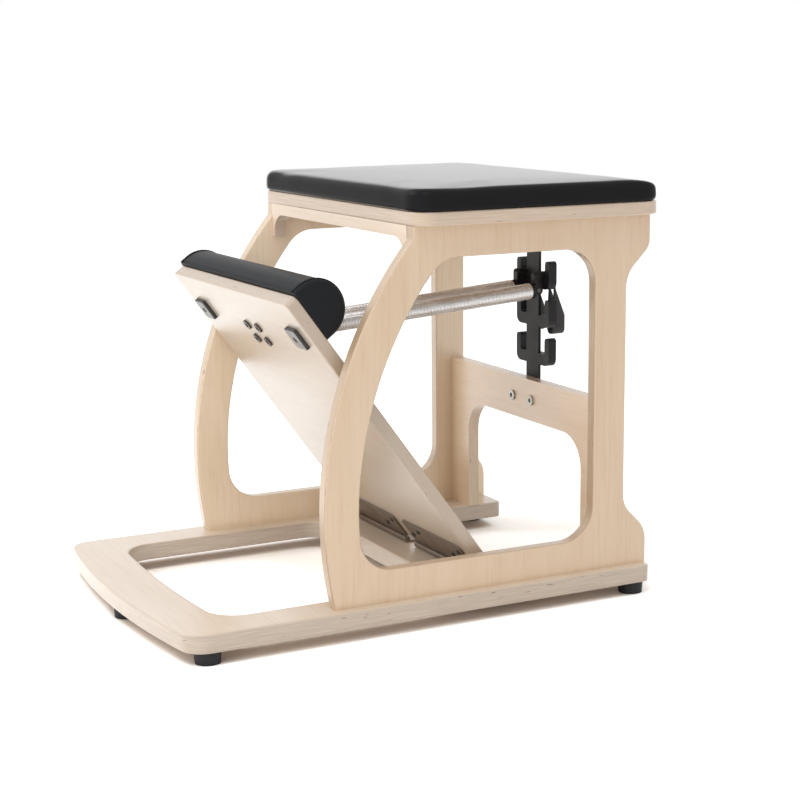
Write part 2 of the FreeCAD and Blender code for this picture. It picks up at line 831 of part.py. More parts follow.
for label, (x, y) in FEET.items():
    cone = doc.addObject("Part::Cone", "Foot")
    bind(cone, "Radius1", size("foot_floor_radius"))
    bind(cone, "Radius2", size("foot_top_radius"))
    bind(cone, "Height", size("foot_height"))
    recess = cylinder(size("foot_recess_radius"), size("foot_recess_depth"))
    hole = cylinder(size("screw_radius") + slack, size("foot_height"))
    foot = finished(minus(cone, joined([recess, hole]), label), label)
    place(foot, x, y)

foot_screw_length = size("foot_height") - size("foot_recess_depth") + size("screw_depth") - slack
fasteners("foot_screws", [(x, y, size("foot_recess_depth")) for x, y in FEET.values()], POINTS_UP,
          size("foot_screw_head_radius"), size("foot_screw_head"), size("screw_radius"), foot_screw_length)
fasteners("panel_screws", [(x, y, size("foot_height") + size("panel_screw_head")) for x, y in panel_screws],
          POINTS_UP, size("panel_screw_head_radius"), size("panel_screw_head") - slack,
          size("panel_screw_radius"), base_ply - size("panel_screw_head") + size("panel_screw_depth") - slack)
fasteners("seat_screws", [(x, y, seat_top - size("screw_head") - slack) for x, y in seat_screws], POINTS_DOWN,
          size("screw_head_radius"), size("screw_head"), size("screw_radius"),
          ply + size("panel_screw_depth") - size("screw_head") - slack * 2)

# Spring tree: a flat post on a foot plate, bolted to the brace and to the rail, with three thick hook blocks

tree = new_body("spring_tree")
place(tree, y=tree_rear)
half_post = size("tree_post") / 2
slot_side = half_post + size("tree_slot")
lobe_side = slot_side + size("tree_lobe")
flange = size("tree_flange_width") / 2
flange_low = brace_top - size("tree_flange_drop")
flange_high = brace_top - size("tree_flange_lift")
tree_top = panel_top - size("tree_top_gap")
hook_lows = [low_hook + level * size("hook_pitch") for level in range(3)]
both = (-1, 1)


def both_sides(left_edge):
    """A closed outline from the corners of its left edge, mirrored across the middle of the chair."""
    return left_edge + [(-x, z) for x, z in reversed(left_edge)]


outline = new_sketch(tree, "XZ")
loop(outline, both_sides([(flange, flange_low), (flange, flange_high),
                          (half_post, flange_high), (half_post, tree_top)]))
circles(outline, brace_bolts, size("bolt_radius") + slack)
circles(outline, rail_bolts, size("rail_bolt_radius") + slack)
pad(tree, outline, size("tree_thickness"))
round_corners(tree, 1, [(s * flange, z) for s in both for z in (flange_low, flange_high)], size("lobe_round"))
round_corners(tree, 1, [(s * half_post, flange_high) for s in both], size("slot_round"))
for low in hook_lows:
    floor = low + size("hook_floor")
    high = low + size("hook_height")
    block = new_sketch(tree, "XZ", size("tree_thickness") - size("hook_block"))
    loop(block, both_sides([(lobe_side, low), (lobe_side, high), (slot_side, high), (slot_side, floor)]))
    pad(tree, block, size("hook_block"))
    round_corners(tree, 1, [(s * lobe_side, low) for s in both], size("lobe_heel"))
    round_corners(tree, 1, [(s * x, high) for s in both for x in (lobe_side, slot_side)], size("lobe_round"))
    round_corners(tree, 1, [(s * slot_side, floor) for s in both], size("slot_round"))

clamped = ply + size("tree_thickness")
for name, spots, radius, head_radius in (
        ("brace", brace_bolts, size("bolt_radius"), size("bolt_head_radius")),
        ("rail", rail_bolts, size("rail_bolt_radius"), size("rail_bolt_head_radius"))):
    fasteners(f"{name}_bolts", [(x, brace_rear - ply, z) for x, z in spots], POINTS_BACK, head_radius,
              size("bolt_head"), radius, clamped + size("nut_height") + size("bolt_end"), radius)
    nuts = []
    for x, z in spots:
        nut = doc.addObject("Part::Prism", "Nut")
        nut.Polygon = 6
        bind(nut, "Circumradius", head_radius)
        bind(nut, "Height", size("nut_height"))
        bored = minus(nut, cylinder(radius + fit, size("nut_height")))
        place(bored, x, tree_rear, z)
        turn(bored, POINTS_BACK)
        nuts.append(bored)
    group(f"{name}_nuts", nuts)

# Spring hooks in the top pair of slots, and the pull straps on their tails

bar_low = hook_floor + seat_gap
bar_high = bar_low + size("hook_bar")
half_arm = size("hook_arm") / 2
crossbar_y = block_rear + seat_gap + size("crossbar_radius")
crossbar_z = bar_low + size("hook_bar") / 2
strap_y = crossbar_y + size("crossbar_radius") + size("hook_tail")
strap_z = crossbar_z - size("tail_drop")
tail_front = strap_y - size("strap_hole") - size("hook_end")
hook_rear = strap_y + size("strap_hole") + size("hook_end")
hook_low = strap_z - size("strap_hole") - size("hook_end")
fork = size("tongue") + seat_gap * 2
for side, sign in SIDES.items():
    hook = new_body(f"{side}_spring_hook")
    place(hook, x=sign * spring_x)
    outline = new_sketch(hook, "YZ", -size("hook_plate") / 2)
    loop(outline, [
        (hook_rear, bar_high), (tail_y - half_arm, bar_high), (tail_y - half_arm, tail_z, half_arm, RIGHT),
        (tail_y, tail_z - half_arm, half_arm, RIGHT), (tail_y + half_arm, tail_z),
        (tail_y + half_arm, bar_low), (tail_front, bar_low), (tail_front, hook_low), (hook_rear, hook_low),
    ])
    circles(outline, [(tail_y, tail_z)], size("pivot_radius") + fit)
    circles(outline, [(strap_y, strap_z)], size("strap_hole"))
    pad(hook, outline, size("hook_plate"))
    round_corners(hook, 0, [(tail_y - half_arm, bar_high)], size("hook_round"))
    gap = new_sketch(hook, "YZ", -fork / 2)
    box_loop(gap, tail_y - half_arm - over_cut, tail_z - half_arm - over_cut,
             tail_y + half_arm + over_cut, tail_z + half_arm + size("fork_room"))
    pocket(hook, gap, fork, flip=True)
    crossbar = new_sketch(hook, "YZ", -size("crossbar_length") / 2)
    circles(crossbar, [(crossbar_y, crossbar_z)], size("crossbar_radius"))
    pad(hook, crossbar, size("crossbar_length"))

    strap = new_body(f"{side}_pull_strap")
    place(strap, sign * spring_x, strap_y + size("strap_width") / 2)
    inner = size("hook_plate") / 2 + seat_gap
    outer = inner + size("strap_web")
    strap_top = strap_z + size("strap_web") / 2
    strap_low = strap_top - size("strap_length")
    outline = new_sketch(strap, "XZ")
    for half, high, low in ((outer, strap_top, strap_low),
                            (inner, strap_top - size("strap_web"), strap_low + size("strap_web"))):
        loop(outline, [
            (half, high), (-half, high), (-half, low + half, half, RIGHT),
            (0, low, half, RIGHT), (half, low + half),
        ])
    pad(strap, outline, size("strap_width"))
    wedges = new_sketch(strap, "YZ", -outer - over_cut)
    shoulder_y = (size("strap_width") - size("strap_neck")) / 2
    taper_end = strap_top - size("strap_taper")
    above = strap_top + over_cut
    neck_end = strap_top - size("strap_shoulder")
    far = -size("strap_width")
    loop(wedges, [(over_cut, above), (-shoulder_y, above), (-shoulder_y, neck_end), (0, taper_end),
                  (over_cut, taper_end)])
    loop(wedges, [(far - over_cut, above), (far - over_cut, taper_end), (far, taper_end),
                  (far + shoulder_y, neck_end), (far + shoulder_y, above)])
    pocket(strap, wedges, outer * 2 + over_cut * 2, flip=True)

rods_across("hook_pins", [(s * spring_x, tail_y, tail_z) for s in both], size("pivot_radius"),
            size("hook_plate") + size("pin_end") * 2)

# Pedal: drawn lying flat with its hinge axis as the origin, then tilted up

pedal_low = size("hinge_offset")
pedal_high = pedal_low + ply
pedal_end = -size("pedal_reach")
board = new_body("pedal_board")
on_pedal(board)
outline = new_sketch(board, "XY", pedal_low)
box_loop(outline, -half_pedal, pedal_end, half_pedal, -size("pedal_start"))
pad(board, outline, ply)
round_corners(board, 2, [(s * half_pedal, pedal_end) for s in both], size("pedal_corner"))
round_rims(board, 2, size("edge_round"))
recess = new_sketch(board, "XY", pedal_high)
box_loop(recess, -size("anchor_width") / 2 - slack, -size("anchor_end") - slack,
         size("anchor_width") / 2 + slack, slack - size("anchor_start"))
pocket(board, recess, size("anchor_thickness"))
drill(board, "XY", pedal_low, anchor_bolts, size("bolt_radius") + slack, ply, flip=True)
drill(board, "XY", pedal_low, [(x, -y) for x, y in hinge_screws], size("screw_radius") + slack,
      size("screw_depth"), flip=True)
drill(board, "XY", pedal_low, [(s * bumper_x, -size("bumper_reach")) for s in both],
      size("screw_radius") + slack, size("screw_depth"), flip=True)

pedal_pad = new_body("pedal_pad")
on_pedal(pedal_pad)
pad_radius = size("pad_flat") / 2
pad_shoulder = pedal_high + size("pad_side")
pad_end = pedal_end - size("pad_overhang")
outline = new_sketch(pedal_pad, "YZ", -half_pedal)
loop(outline, [
    (pad_end, pedal_high),
    (pad_end + size("pad_flat"), pedal_high),
    (pad_end + size("pad_flat"), pad_shoulder, pad_radius, RIGHT),
    (pad_end + pad_radius, pad_shoulder + pad_radius, pad_radius, RIGHT),
    (pad_end, pad_shoulder),
])
pad(pedal_pad, outline, half_pedal * 2)
round_rims(pedal_pad, 0, size("pad_end_round"), sharp=[(2, pedal_high)])

for side, sign in SIDES.items():
    bumper = new_body(f"{side}_bumper")
    on_pedal(bumper)
    x, y = sign * bumper_x, -size("bumper_reach")
    half_width, half_length = size("bumper_width") / 2, size("bumper_length") / 2
    outline = new_sketch(bumper, "XY", pedal_low - size("bumper_height"))
    box_loop(outline, x - half_width, y - half_length, x + half_width, y + half_length)
    pad(bumper, outline, size("bumper_height"))
    round_corners(bumper, 2, [(x + i * half_width, y + j * half_length) for i in both for j in both],
                  size("bumper_corner"))
    round_rims(bumper, 2, size("bumper_round"), sharp=[(2, pedal_low)])
    drill(bumper, "XY", pedal_low, [(x, y)], size("screw_radius") + slack, size("bumper_height"))
    drill(bumper, "XY", pedal_low - size("bumper_height"), [(x, y)], size("screw_head_radius") + slack,
          size("bumper_recess"), flip=True)

bumper_left = size("bumper_height") - size("bumper_recess")
bumper_screws = fasteners("bumper_screws",
                          [(s * bumper_x, -size("bumper_reach"), pedal_low - bumper_left) for s in both],
                          POINTS_UP, size("screw_head_radius"), size("screw_head"), size("screw_radius"),
                          bumper_left + size("screw_depth") - slack)
on_pedal(bumper_screws)

# Spring anchor: a plate let into the pedal, with a pair of ears for each spring

anchor = new_body("spring_anchor")
on_pedal(anchor)
half_anchor = size("anchor_width") / 2
outline = new_sketch(anchor, "XY", pedal_high - size("anchor_thickness"))
box_loop(outline, -half_anchor, -size("anchor_end"), half_anchor, -size("anchor_start"))
circles(outline, anchor_bolts, size("bolt_radius") + slack)
pad(anchor, outline, size("anchor_thickness"))
eye = -size("eye_reach")
ear = size("ear_radius")
for sign in both:
    for start in (fork / 2, -fork / 2 - size("ear_thickness")):
        outline = new_sketch(anchor, "YZ", sign * spring_x + start)
        loop(outline, [
            (eye - ear, pedal_high - size("anchor_thickness") / 2),
            (eye + ear, pedal_high - size("anchor_thickness") / 2),
            (eye + ear, size("eye_stand"), ear, RIGHT),
            (eye, size("eye_stand") + ear, ear, RIGHT),
            (eye - ear, size("eye_stand")),
        ])
        pad(anchor, outline, size("ear_thickness"))
drill(anchor, "YZ", -half_anchor, [(eye, size("eye_stand"))], size("pivot_radius") + fit,
      size("anchor_width"), flip=True)
anchor_pins = rods_across("anchor_pins", [(s * spring_x, eye, size("eye_stand")) for s in both],
                          size("pivot_radius"), fork + (size("ear_thickness") + size("pin_end")) * 2)
on_pedal(anchor_pins)
bolts = fasteners("anchor_bolts", [(x, y, pedal_low) for x, y in anchor_bolts], POINTS_UP,
                  size("bolt_head_radius"), size("bolt_head"), size("bolt_radius"), ply, size("bolt_radius"))
on_pedal(bolts)

# Hinges: each has a leaf on the sill, a leaf under the pedal and one pin through five knuckles

knuckle = worked_out("knuckle_pitch", hinge_length / 5)
knuckle_gap = size("knuckle_gap")
relief = size("knuckle_radius") + size("leaf_relief")


def hinge_leaf(label, way, low, own_knuckles, bore):
    """A leaf that reaches from the axis along +Y or -Y, with tabs that run into its own knuckles."""
    leaf = new_body(label)
    edge = [(as_size(0), way * size("leaf_width")), (as_size(0), way * relief)]
    for k in own_knuckles:
        start, stop = knuckle * k + knuckle_gap / 2, knuckle * (k + 1) - knuckle_gap / 2
        edge += [(start, way * relief), (start, as_size(0)), (stop, as_size(0)), (stop, way * relief)]
    edge += [(hinge_length, way * relief), (hinge_length, way * size("leaf_width"))]
    outline = new_sketch(leaf, "XY", low)
    loop(outline, edge)
    circles(outline, [(x, way * y) for x, y in hinge_screw_spots()], size("screw_radius") + slack)
    pad(leaf, outline, size("leaf_thickness"))
    for k in own_knuckles:
        barrel = new_sketch(leaf, "YZ", knuckle * k + knuckle_gap / 2)
        circles(barrel, [(0, 0)], size("knuckle_radius"))
        pad(leaf, barrel, knuckle - knuckle_gap)
    round_corners(leaf, 2, [(0, way * size("leaf_width")), (hinge_length, way * size("leaf_width"))],
                  size("leaf_corner"))
    drill(leaf, "YZ", 0, [(0, 0)], bore, hinge_length, flip=True)
    return leaf


for side, start in hinge_starts.items():
    leaf = hinge_leaf(f"{side}_hinge_base_leaf", 1, -pedal_low, (0, 2, 4), size("pin_radius"))
    place(leaf, start, hinge_y, hinge_z)
    leaf = hinge_leaf(f"{side}_hinge_pedal_leaf", -1, pedal_low - size("leaf_thickness"), (1, 3),
                      size("pin_radius") + fit)
    on_pedal(leaf, start)
    pin = finished(cylinder(size("pin_radius"), hinge_length), f"{side}_hinge_pin")
    pin.Placement.Rotation = FreeCAD.Rotation(FreeCAD.Vector(0, 1, 0), 90)
    place(pin, start, hinge_y, hinge_z)

screw_shape = (size("screw_head_radius"), size("screw_head"), size("screw_radius"),
               size("leaf_thickness") + size("screw_depth") - slack)
fasteners("base_hinge_screws", [(x, hinge_y + y, base_top + size("leaf_thickness")) for x, y in hinge_screws],
          POINTS_DOWN, *screw_shape)
pedal_screws = fasteners("pedal_hinge_screws",
                         [(x, -y, pedal_low - size("leaf_thickness")) for x, y in hinge_screws],
                         POINTS_UP, *screw_shape)
on_pedal(pedal_screws)

# Springs and their end caps: drawn along Y from the pivot, then sloped


def end_cap(label, way, start, length):
    """A cap that closes the spring, on a tongue that turns about the pivot."""
    body = new_body(label)
    tongue = new_sketch(body, "YZ", -size("tongue") / 2)
    reach = size("tongue_radius")
    bulge = LEFT if way > 0 else RIGHT
    loop(tongue, [
        (way * start, reach), (way * start, -reach), (0, -reach, reach, bulge),
        (-way * reach, 0, reach, bulge), (0, reach),
    ])
    circles(tongue, [(0, 0)], size("pivot_radius") + fit)
    pad(body, tongue, size("tongue"))
    disc = new_sketch(body, "XZ", -way * start)
    circles(disc, [(0, 0)], size("cap_radius"))
    pad(body, disc, length, flip=way > 0)
    turn(body, spring_slope)
    return body


def biarc(start, start_way, stop, stop_way):
    """Two arcs that meet smoothly and carry one direction at the start over into another at the stop."""
    chord = stop - start
    both_ways = start_way + stop_way
    spread = 2 * (1 - start_way.dot(stop_way))
    along = chord.dot(both_ways)
    reach = (math.sqrt(along ** 2 + spread * chord.dot(chord)) - along) / spread
    first_bend = start + start_way * reach
    second_bend = stop - stop_way * reach
    join = (first_bend + second_bend) / 2
    return [bend_arc(start, first_bend, join), bend_arc(join, second_bend, stop)]


def bend_arc(start, bend, stop):
    """The arc that touches both legs of an equal-legged bend."""
    leg_in, leg_out = bend - start, stop - bend
    half_turn = leg_in.getAngle(leg_out) / 2
    radius = leg_in.Length / math.tan(half_turn)
    inward = ((start + stop) / 2 - bend).normalize()
    middle = bend + inward * (radius / math.cos(half_turn) - radius)
    return Part.Arc(start, middle, stop)


coil_radius = size("spring_radius").value - size("wire").value / 2
wire = size("wire").value
coil_start = number_of(size("rear_cap_start") + size("rear_cap_length"))
coil_stop = number_of(spring_span - size("front_cap_start") - size("front_cap_length"))
helix_start = coil_start + wire + size("spring_lead").value
helix_stop = coil_stop - wire - size("spring_lead").value
turns = size("spring_turns").value
rise = (helix_stop - helix_start) / (turns * 2 * math.pi)


def on_helix(angle):
    along = helix_start + rise * angle
    return FreeCAD.Vector(coil_radius * math.cos(angle), -along, coil_radius * math.sin(angle))


def helix_way(angle):
    return FreeCAD.Vector(-coil_radius * math.sin(angle), -rise, coil_radius * math.cos(angle)).normalize()


def spring_wire():
    """The wire's middle line: straight out of the rear cap, round the turns, straight into the front cap."""
    outward = FreeCAD.Vector(0, -1, 0)
    entry = on_helix(-math.pi / 2)
    entry.y = -coil_start
    last = turns * 2 * math.pi
    leave = on_helix(last + math.pi / 2)
    leave.y = -coil_stop
    curves = [Part.LineSegment(entry, entry + outward * wire)]
    curves += biarc(entry + outward * wire, outward, on_helix(0), helix_way(0))
    steps = int(round(turns * 2))
    for step in range(steps):
        here, there = step * last / steps, (step + 1) * last / steps
        curves += biarc(on_helix(here), helix_way(here), on_helix(there), helix_way(there))
    curves += biarc(on_helix(last), helix_way(last), leave - outward * wire, outward)
    curves.append(Part.LineSegment(leave - outward * wire, leave))
    return curves


def least_gap(curves):
    """The least clear space between two stretches of the wire that are more than half a turn apart."""
    points = []
    travelled = [0.0]
    for curve in curves:
        points += curve.toShape().discretize(7)[:-1]
    for before, after in zip(points, points[1:]):
        travelled.append(travelled[-1] + before.distanceToPoint(after))
    apart = coil_radius * math.pi
    least = math.inf
    for i, point in enumerate(points):
        for j in range(i + 1, min(i + 60, len(points))):
            if travelled[j] - travelled[i] > apart:
                least = min(least, point.distanceToPoint(points[j]))
    return least - wire


curves = spring_wire()
print(f"spring: least gap between turns {least_gap(curves):.2f} mm")
path = Part.Wire([curve.toShape() for curve in curves])
start_point = path.Edges[0].Vertexes[0].Point
profile = Part.Wire([Part.Circle(start_point, FreeCAD.Vector(0, 1, 0), wire / 2).toShape()])
coil = path.makePipeShell([profile], True, False)

for side, sign in SIDES.items():
    cap = end_cap(f"{side}_spring_eye", 1, size("front_cap_start"), size("front_cap_length"))
    place(cap, sign * spring_x, eye_y, eye_z)
    cap = end_cap(f"{side}_spring_tail", -1, size("rear_cap_start"), size("rear_cap_length"))
    place(cap, sign * spring_x, tail_y, tail_z)
    spring = finished(doc.addObject("Part::Feature", f"{side}_spring"), f"{side}_spring")
    spring.Shape = coil
    spot = FreeCAD.Vector(number_of(sign * spring_x), tail_y.value, tail_z.value)
    sloped = FreeCAD.Rotation(FreeCAD.Vector(1, 0, 0), spring_slope.value)
    spring.Placement = FreeCAD.Placement(spot, sloped)

doc.recompute()

# Checks and export

os.makedirs("parts", exist_ok=True)
for thing in doc.Objects:
    if "Invalid" in thing.State or "Error" in thing.State:
        raise RuntimeError(f"{thing.Label} did not build: {thing.State}")
for piece in PIECES:
    if piece.Shape.isNull() or not piece.Shape.isValid() or piece.Shape.Volume <= 0:
        raise RuntimeError(f"{piece.Label} has no valid shape")
    piece.Shape.exportStep(f"parts/{piece.Label}.step")
    print(f"{piece.Label}: {len(piece.Shape.Solids)} solid, {piece.Shape.Volume / 1000:.1f} cm3")
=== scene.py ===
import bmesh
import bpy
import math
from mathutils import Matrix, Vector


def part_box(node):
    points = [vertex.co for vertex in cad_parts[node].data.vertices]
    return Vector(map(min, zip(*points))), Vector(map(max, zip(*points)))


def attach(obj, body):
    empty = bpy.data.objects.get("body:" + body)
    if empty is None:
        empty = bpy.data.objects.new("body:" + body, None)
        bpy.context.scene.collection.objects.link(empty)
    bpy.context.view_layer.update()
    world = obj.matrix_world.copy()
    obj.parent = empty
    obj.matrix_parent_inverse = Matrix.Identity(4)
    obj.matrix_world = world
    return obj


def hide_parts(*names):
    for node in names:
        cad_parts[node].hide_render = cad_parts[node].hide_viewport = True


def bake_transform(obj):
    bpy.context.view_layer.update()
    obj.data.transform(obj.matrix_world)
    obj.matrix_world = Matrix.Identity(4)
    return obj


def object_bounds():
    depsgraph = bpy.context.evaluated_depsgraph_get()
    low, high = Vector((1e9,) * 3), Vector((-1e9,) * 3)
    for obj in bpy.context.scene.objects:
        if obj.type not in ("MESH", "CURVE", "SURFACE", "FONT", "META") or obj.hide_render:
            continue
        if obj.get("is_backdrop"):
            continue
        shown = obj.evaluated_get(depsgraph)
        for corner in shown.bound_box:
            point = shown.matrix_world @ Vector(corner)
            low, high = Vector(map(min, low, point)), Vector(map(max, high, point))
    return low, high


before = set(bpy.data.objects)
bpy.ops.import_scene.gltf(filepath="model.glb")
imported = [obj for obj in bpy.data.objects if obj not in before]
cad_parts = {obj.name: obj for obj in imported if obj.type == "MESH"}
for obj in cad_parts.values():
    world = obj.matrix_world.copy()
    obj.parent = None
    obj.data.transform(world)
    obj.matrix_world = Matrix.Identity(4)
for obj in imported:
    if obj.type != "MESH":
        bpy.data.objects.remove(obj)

# %% [markdown]
# # A pilates chair
#
# The chair is a plywood frame with a padded seat, a hinged foot pedal and two long springs.
# The measured model arrives as a fixed frame, so every board, hinge and bolt is already in its place.
# This lesson gives those pieces their wood, metal and rubber, and makes the soft and wound pieces anew.
#
# The box of the untouched frame is kept, so that the dressed chair can be compared with it at the end.

frame_box = [list(corner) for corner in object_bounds()]
print("frame box", [[round(v, 3) for v in corner] for corner in frame_box])

# %% [markdown]
# ## The camera
#
# A camera can be aimed by hand, but here it was worked out from the picture: where it stands around the
# chair, how high, how far off, and how long its lens is. From those the three directions of the camera
# follow, and they are written straight into its matrix.

# %% Camera
AZIMUTH = math.radians(63.04)
ELEVATION = math.radians(10.78)
ROLL = math.radians(-0.524)
DISTANCE = 2.7151
LOOK_AT = Vector((-0.0043, 0.0905, 0.2735))
LENS, SENSOR_WIDTH = 80.09, 36.0

back = Vector((math.cos(ELEVATION) * math.sin(AZIMUTH),
               -math.cos(ELEVATION) * math.cos(AZIMUTH),
               math.sin(ELEVATION)))
level_right = Vector((math.cos(AZIMUTH), math.sin(AZIMUTH), 0))
level_up = back.cross(level_right)
right = level_right * math.cos(ROLL) + level_up * math.sin(ROLL)
up = level_up * math.cos(ROLL) - level_right * math.sin(ROLL)
camera_data = bpy.data.cameras.new("camera")
camera_data.lens = LENS
camera_data.sensor_width = SENSOR_WIDTH
camera = bpy.data.objects.new("camera", camera_data)
bpy.context.collection.objects.link(camera)
camera.matrix_world = Matrix.Translation(LOOK_AT + back * DISTANCE) @ Matrix(
    (right, up, back)).transposed().to_4x4()
bpy.context.scene.camera = camera
print("camera at", [round(v, 3) for v in camera.matrix_world.translation])

# %% [markdown]
# ## Writing nodes
#
# Every material here is a small tree of shader nodes. A few helpers add one node, one noise or one mix at
# a time, and each input is given as a number or as a link from another node.

# %% Node helpers


def link(tree, source, target):
    tree.links.new(source, target)


def set_up(tree, node, settings, values):
    """Gives a node its settings, and its inputs as numbers or as links from other nodes.

    An input goes by its name, with a space written as _, or by its number as i0, i1 and so on."""
    for name, value in (settings or {}).items():
        setattr(node, name, value)
    for name, value in values.items():
        key = int(name[1:]) if name[0] == "i" and name[1:].isdigit() else name.replace("_", " ")
        if isinstance(value, bpy.types.NodeSocket):
            link(tree, value, node.inputs[key])
        else:
            node.inputs[key].default_value = value
    return node


def add(tree, kind, settings=None, **values):
    """A shader node with its settings and inputs."""
    return set_up(tree, tree.nodes.new("ShaderNode" + kind), settings, values)


def numbers(tree, way, first, second):
    """Two numbers added, multiplied or otherwise joined."""
    return add(tree, "Math", {"operation": way}, i0=first, i1=second).outputs[0]


def steps_between(tree, amount, low, high):
    """0 below low, 1 above high, and smooth between them."""
    return add(tree, "MapRange", {"interpolation_type": "SMOOTHSTEP"}, Value=amount,
               From_Min=low, From_Max=high).outputs[0]


def mix(tree, amount, first, second, way="MIX"):
    """Two colours mixed, multiplied or otherwise joined by an amount."""
    first, second = ((*colour, 1) if isinstance(colour, tuple) else colour for colour in (first, second))
    node = add(tree, "Mix", {"data_type": "RGBA", "blend_type": way}, i0=amount, i6=first, i7=second)
    return node.outputs[2]


# %% Ramps, noise and finished surfaces


def ramp(tree, amount, *stops):
    """A colour between two stops, each a place from 0 to 1 and a colour, read by an amount."""
    node = add(tree, "ValToRGB", Fac=amount)
    for element, (place, colour) in zip(node.color_ramp.elements, stops):
        element.position = place
        element.color = (*colour, 1)
    return node.outputs[0]


def noise(tree, place, scale, detail, stretch=None, roughness=0.5):
    """Noise at a place, whose axes may be stretched first."""
    if stretch:
        place = add(tree, "Mapping", Vector=place, Scale=stretch).outputs[0]
    node = add(tree, "TexNoise", Vector=place, Scale=scale, Detail=detail, Roughness=roughness)
    return node.outputs["Fac"]


def from_noise(tree, amount, low, high):
    """A number that goes from low to high over the range that most of a noise lies in."""
    return add(tree, "MapRange", Value=amount, From_Min=0.3, From_Max=0.7,
               To_Min=low, To_Max=high).outputs[0]


def rotated(tree, vector, turn):
    """A vector after a turn about X, Y and Z."""
    return add(tree, "VectorRotate", {"rotation_type": "EULER_XYZ"}, Vector=vector,
               Rotation=turn).outputs[0]


def new_material(name):
    """An empty node material, with its tree and its output."""
    material = bpy.data.materials.new(name)
    material.use_nodes = True
    tree = material.node_tree
    tree.nodes.clear()
    return material, tree, add(tree, "OutputMaterial")


def surface(tree, output, normal=None, **values):
    """The finished shader of a material."""
    shader = add(tree, "BsdfPrincipled", **values)
    if normal:
        link(tree, normal, shader.inputs["Normal"])
    link(tree, shader.outputs[0], output.inputs["Surface"])
    return shader


# %% [markdown]
# ## Floor and light
#
# The chair stands on a white floor that runs into a white background. Soft square lamps light it from
# the front, from its near and far sides and from above, and the white world fills the rest.
# The floor is a plain diffuse white. The camera and mirror-like rays see the world as pure white and the
# floor a little paler than it is, so that the two meet without a line.
# A warm shadow stays close to the base. It is a tint on what those rays see, where ambient occlusion says
# that the chair covers most of the room just above the floor.

# %% White world


def seen_directly(tree):
    """1 for rays from the camera or from a mirror or glass, 0 for light that falls on things."""
    path = add(tree, "LightPath").outputs
    mirrored = numbers(tree, "MAXIMUM", path["Is Camera Ray"], path["Is Glossy Ray"])
    return numbers(tree, "MAXIMUM", mirrored, path["Is Transmission Ray"])


FILL_LIGHT, FILL_COLOUR = 0.74, (1.0, 0.985, 0.965, 1)
world = bpy.data.worlds.new("white_room")
bpy.context.scene.world = world
world.use_nodes = True
tree = world.node_tree
tree.nodes.clear()
fill = add(tree, "Background", Color=FILL_COLOUR, Strength=FILL_LIGHT).outputs[0]
white = add(tree, "Background", Color=(1, 1, 1, 1), Strength=1.0).outputs[0]
either = add(tree, "MixShader", i0=seen_directly(tree), i1=fill, i2=white).outputs[0]
add(tree, "OutputWorld", Surface=either)

# %% Floor
FLOOR_SIZE = 14.0
FLOOR_WHITE, FLOOR_SEEN = 0.9, 1.55
SHADOW_REACH, SHADOW_FROM, SHADOW_TO = 0.042, 0.28, 0.48
SHADOW_COLOUR = (0.74, 0.65, 0.59)
half = FLOOR_SIZE / 2
mesh = bpy.data.meshes.new("floor")
mesh.from_pydata([(-half, -half, 0), (half, -half, 0), (half, half, 0), (-half, half, 0)],
                 [], [(0, 1, 2, 3)])
floor = bpy.data.objects.new("floor", mesh)
bpy.context.collection.objects.link(floor)
material, tree, output = new_material("white_floor")
lit = add(tree, "BsdfDiffuse", Color=(FLOOR_WHITE, FLOOR_WHITE, FLOOR_WHITE, 1)).outputs[0]
open_room = add(tree, "AmbientOcclusion", Distance=SHADOW_REACH).outputs["AO"]
clear = add(tree, "MapRange", Value=open_room, From_Min=SHADOW_FROM, From_Max=SHADOW_TO).outputs[0]
seen_colour = mix(tree, clear, SHADOW_COLOUR, (FLOOR_SEEN, FLOOR_SEEN, FLOOR_SEEN))
seen = add(tree, "BsdfDiffuse", Color=seen_colour).outputs[0]
either = add(tree, "MixShader", i0=seen_directly(tree), i1=lit, i2=seen).outputs[0]
link(tree, either, output.inputs["Surface"])
floor.data.materials.append(material)
floor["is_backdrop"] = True

# %% Lamps


def soft_lamp(name, place, aim, width, watts, mirrored=True):
    """A square area lamp that faces a point, and that shiny things mirror or not."""
    lamp = bpy.data.lights.new(name, "AREA")
    lamp.size = width
    lamp.energy = watts
    thing = bpy.data.objects.new(name, lamp)
    bpy.context.collection.objects.link(thing)
    thing.location = place
    thing.visible_glossy = mirrored
    thing.rotation_euler = (Vector(aim) - Vector(place)).to_track_quat("-Z", "Y").to_euler()


soft_lamp("front_lamp", (0.2, -2.6, 1.6), aim=(0, 0.1, 0.35), width=1.6, watts=10, mirrored=False)
soft_lamp("high_lamp", (-1.4, -1.6, 2.4), aim=(0, -0.1, 0.3), width=1.0, watts=16)
soft_lamp("near_lamp", (1.3, -2.3, 0.9), aim=(0, 0.1, 0.3), width=1.2, watts=13, mirrored=False)
soft_lamp("top_lamp", (0.9, -0.5, 2.6), aim=(0, 0.1, 0.5), width=0.6, watts=10)
bpy.context.scene.view_settings.view_transform = "Standard"

# %% [markdown]
# ## Plywood
#
# The boards are birch plywood with a clear satin lacquer. The broad faces show the grain of one pale
# veneer, and the cut edges show the thin layers, with a small dark void here and there.
# So one recipe serves every board: it is told which way the layers are stacked, which way the face grain
# runs, and a tone for the sheet and for its edges, which is partly painted light and shade. It reads the
# surface's direction to tell a face from an edge. The base is sanded round, so there the face runs over
# softly into the edge.

# %% Plywood recipe
PALE, TAN, LINE = (0.80, 0.645, 0.485), (0.745, 0.575, 0.41), (0.62, 0.45, 0.30)
EDGE_PALE, EDGE_TAN, VOID = (0.57, 0.44, 0.32), (0.465, 0.335, 0.23), (0.25, 0.17, 0.11)
LAYER = 0.0027


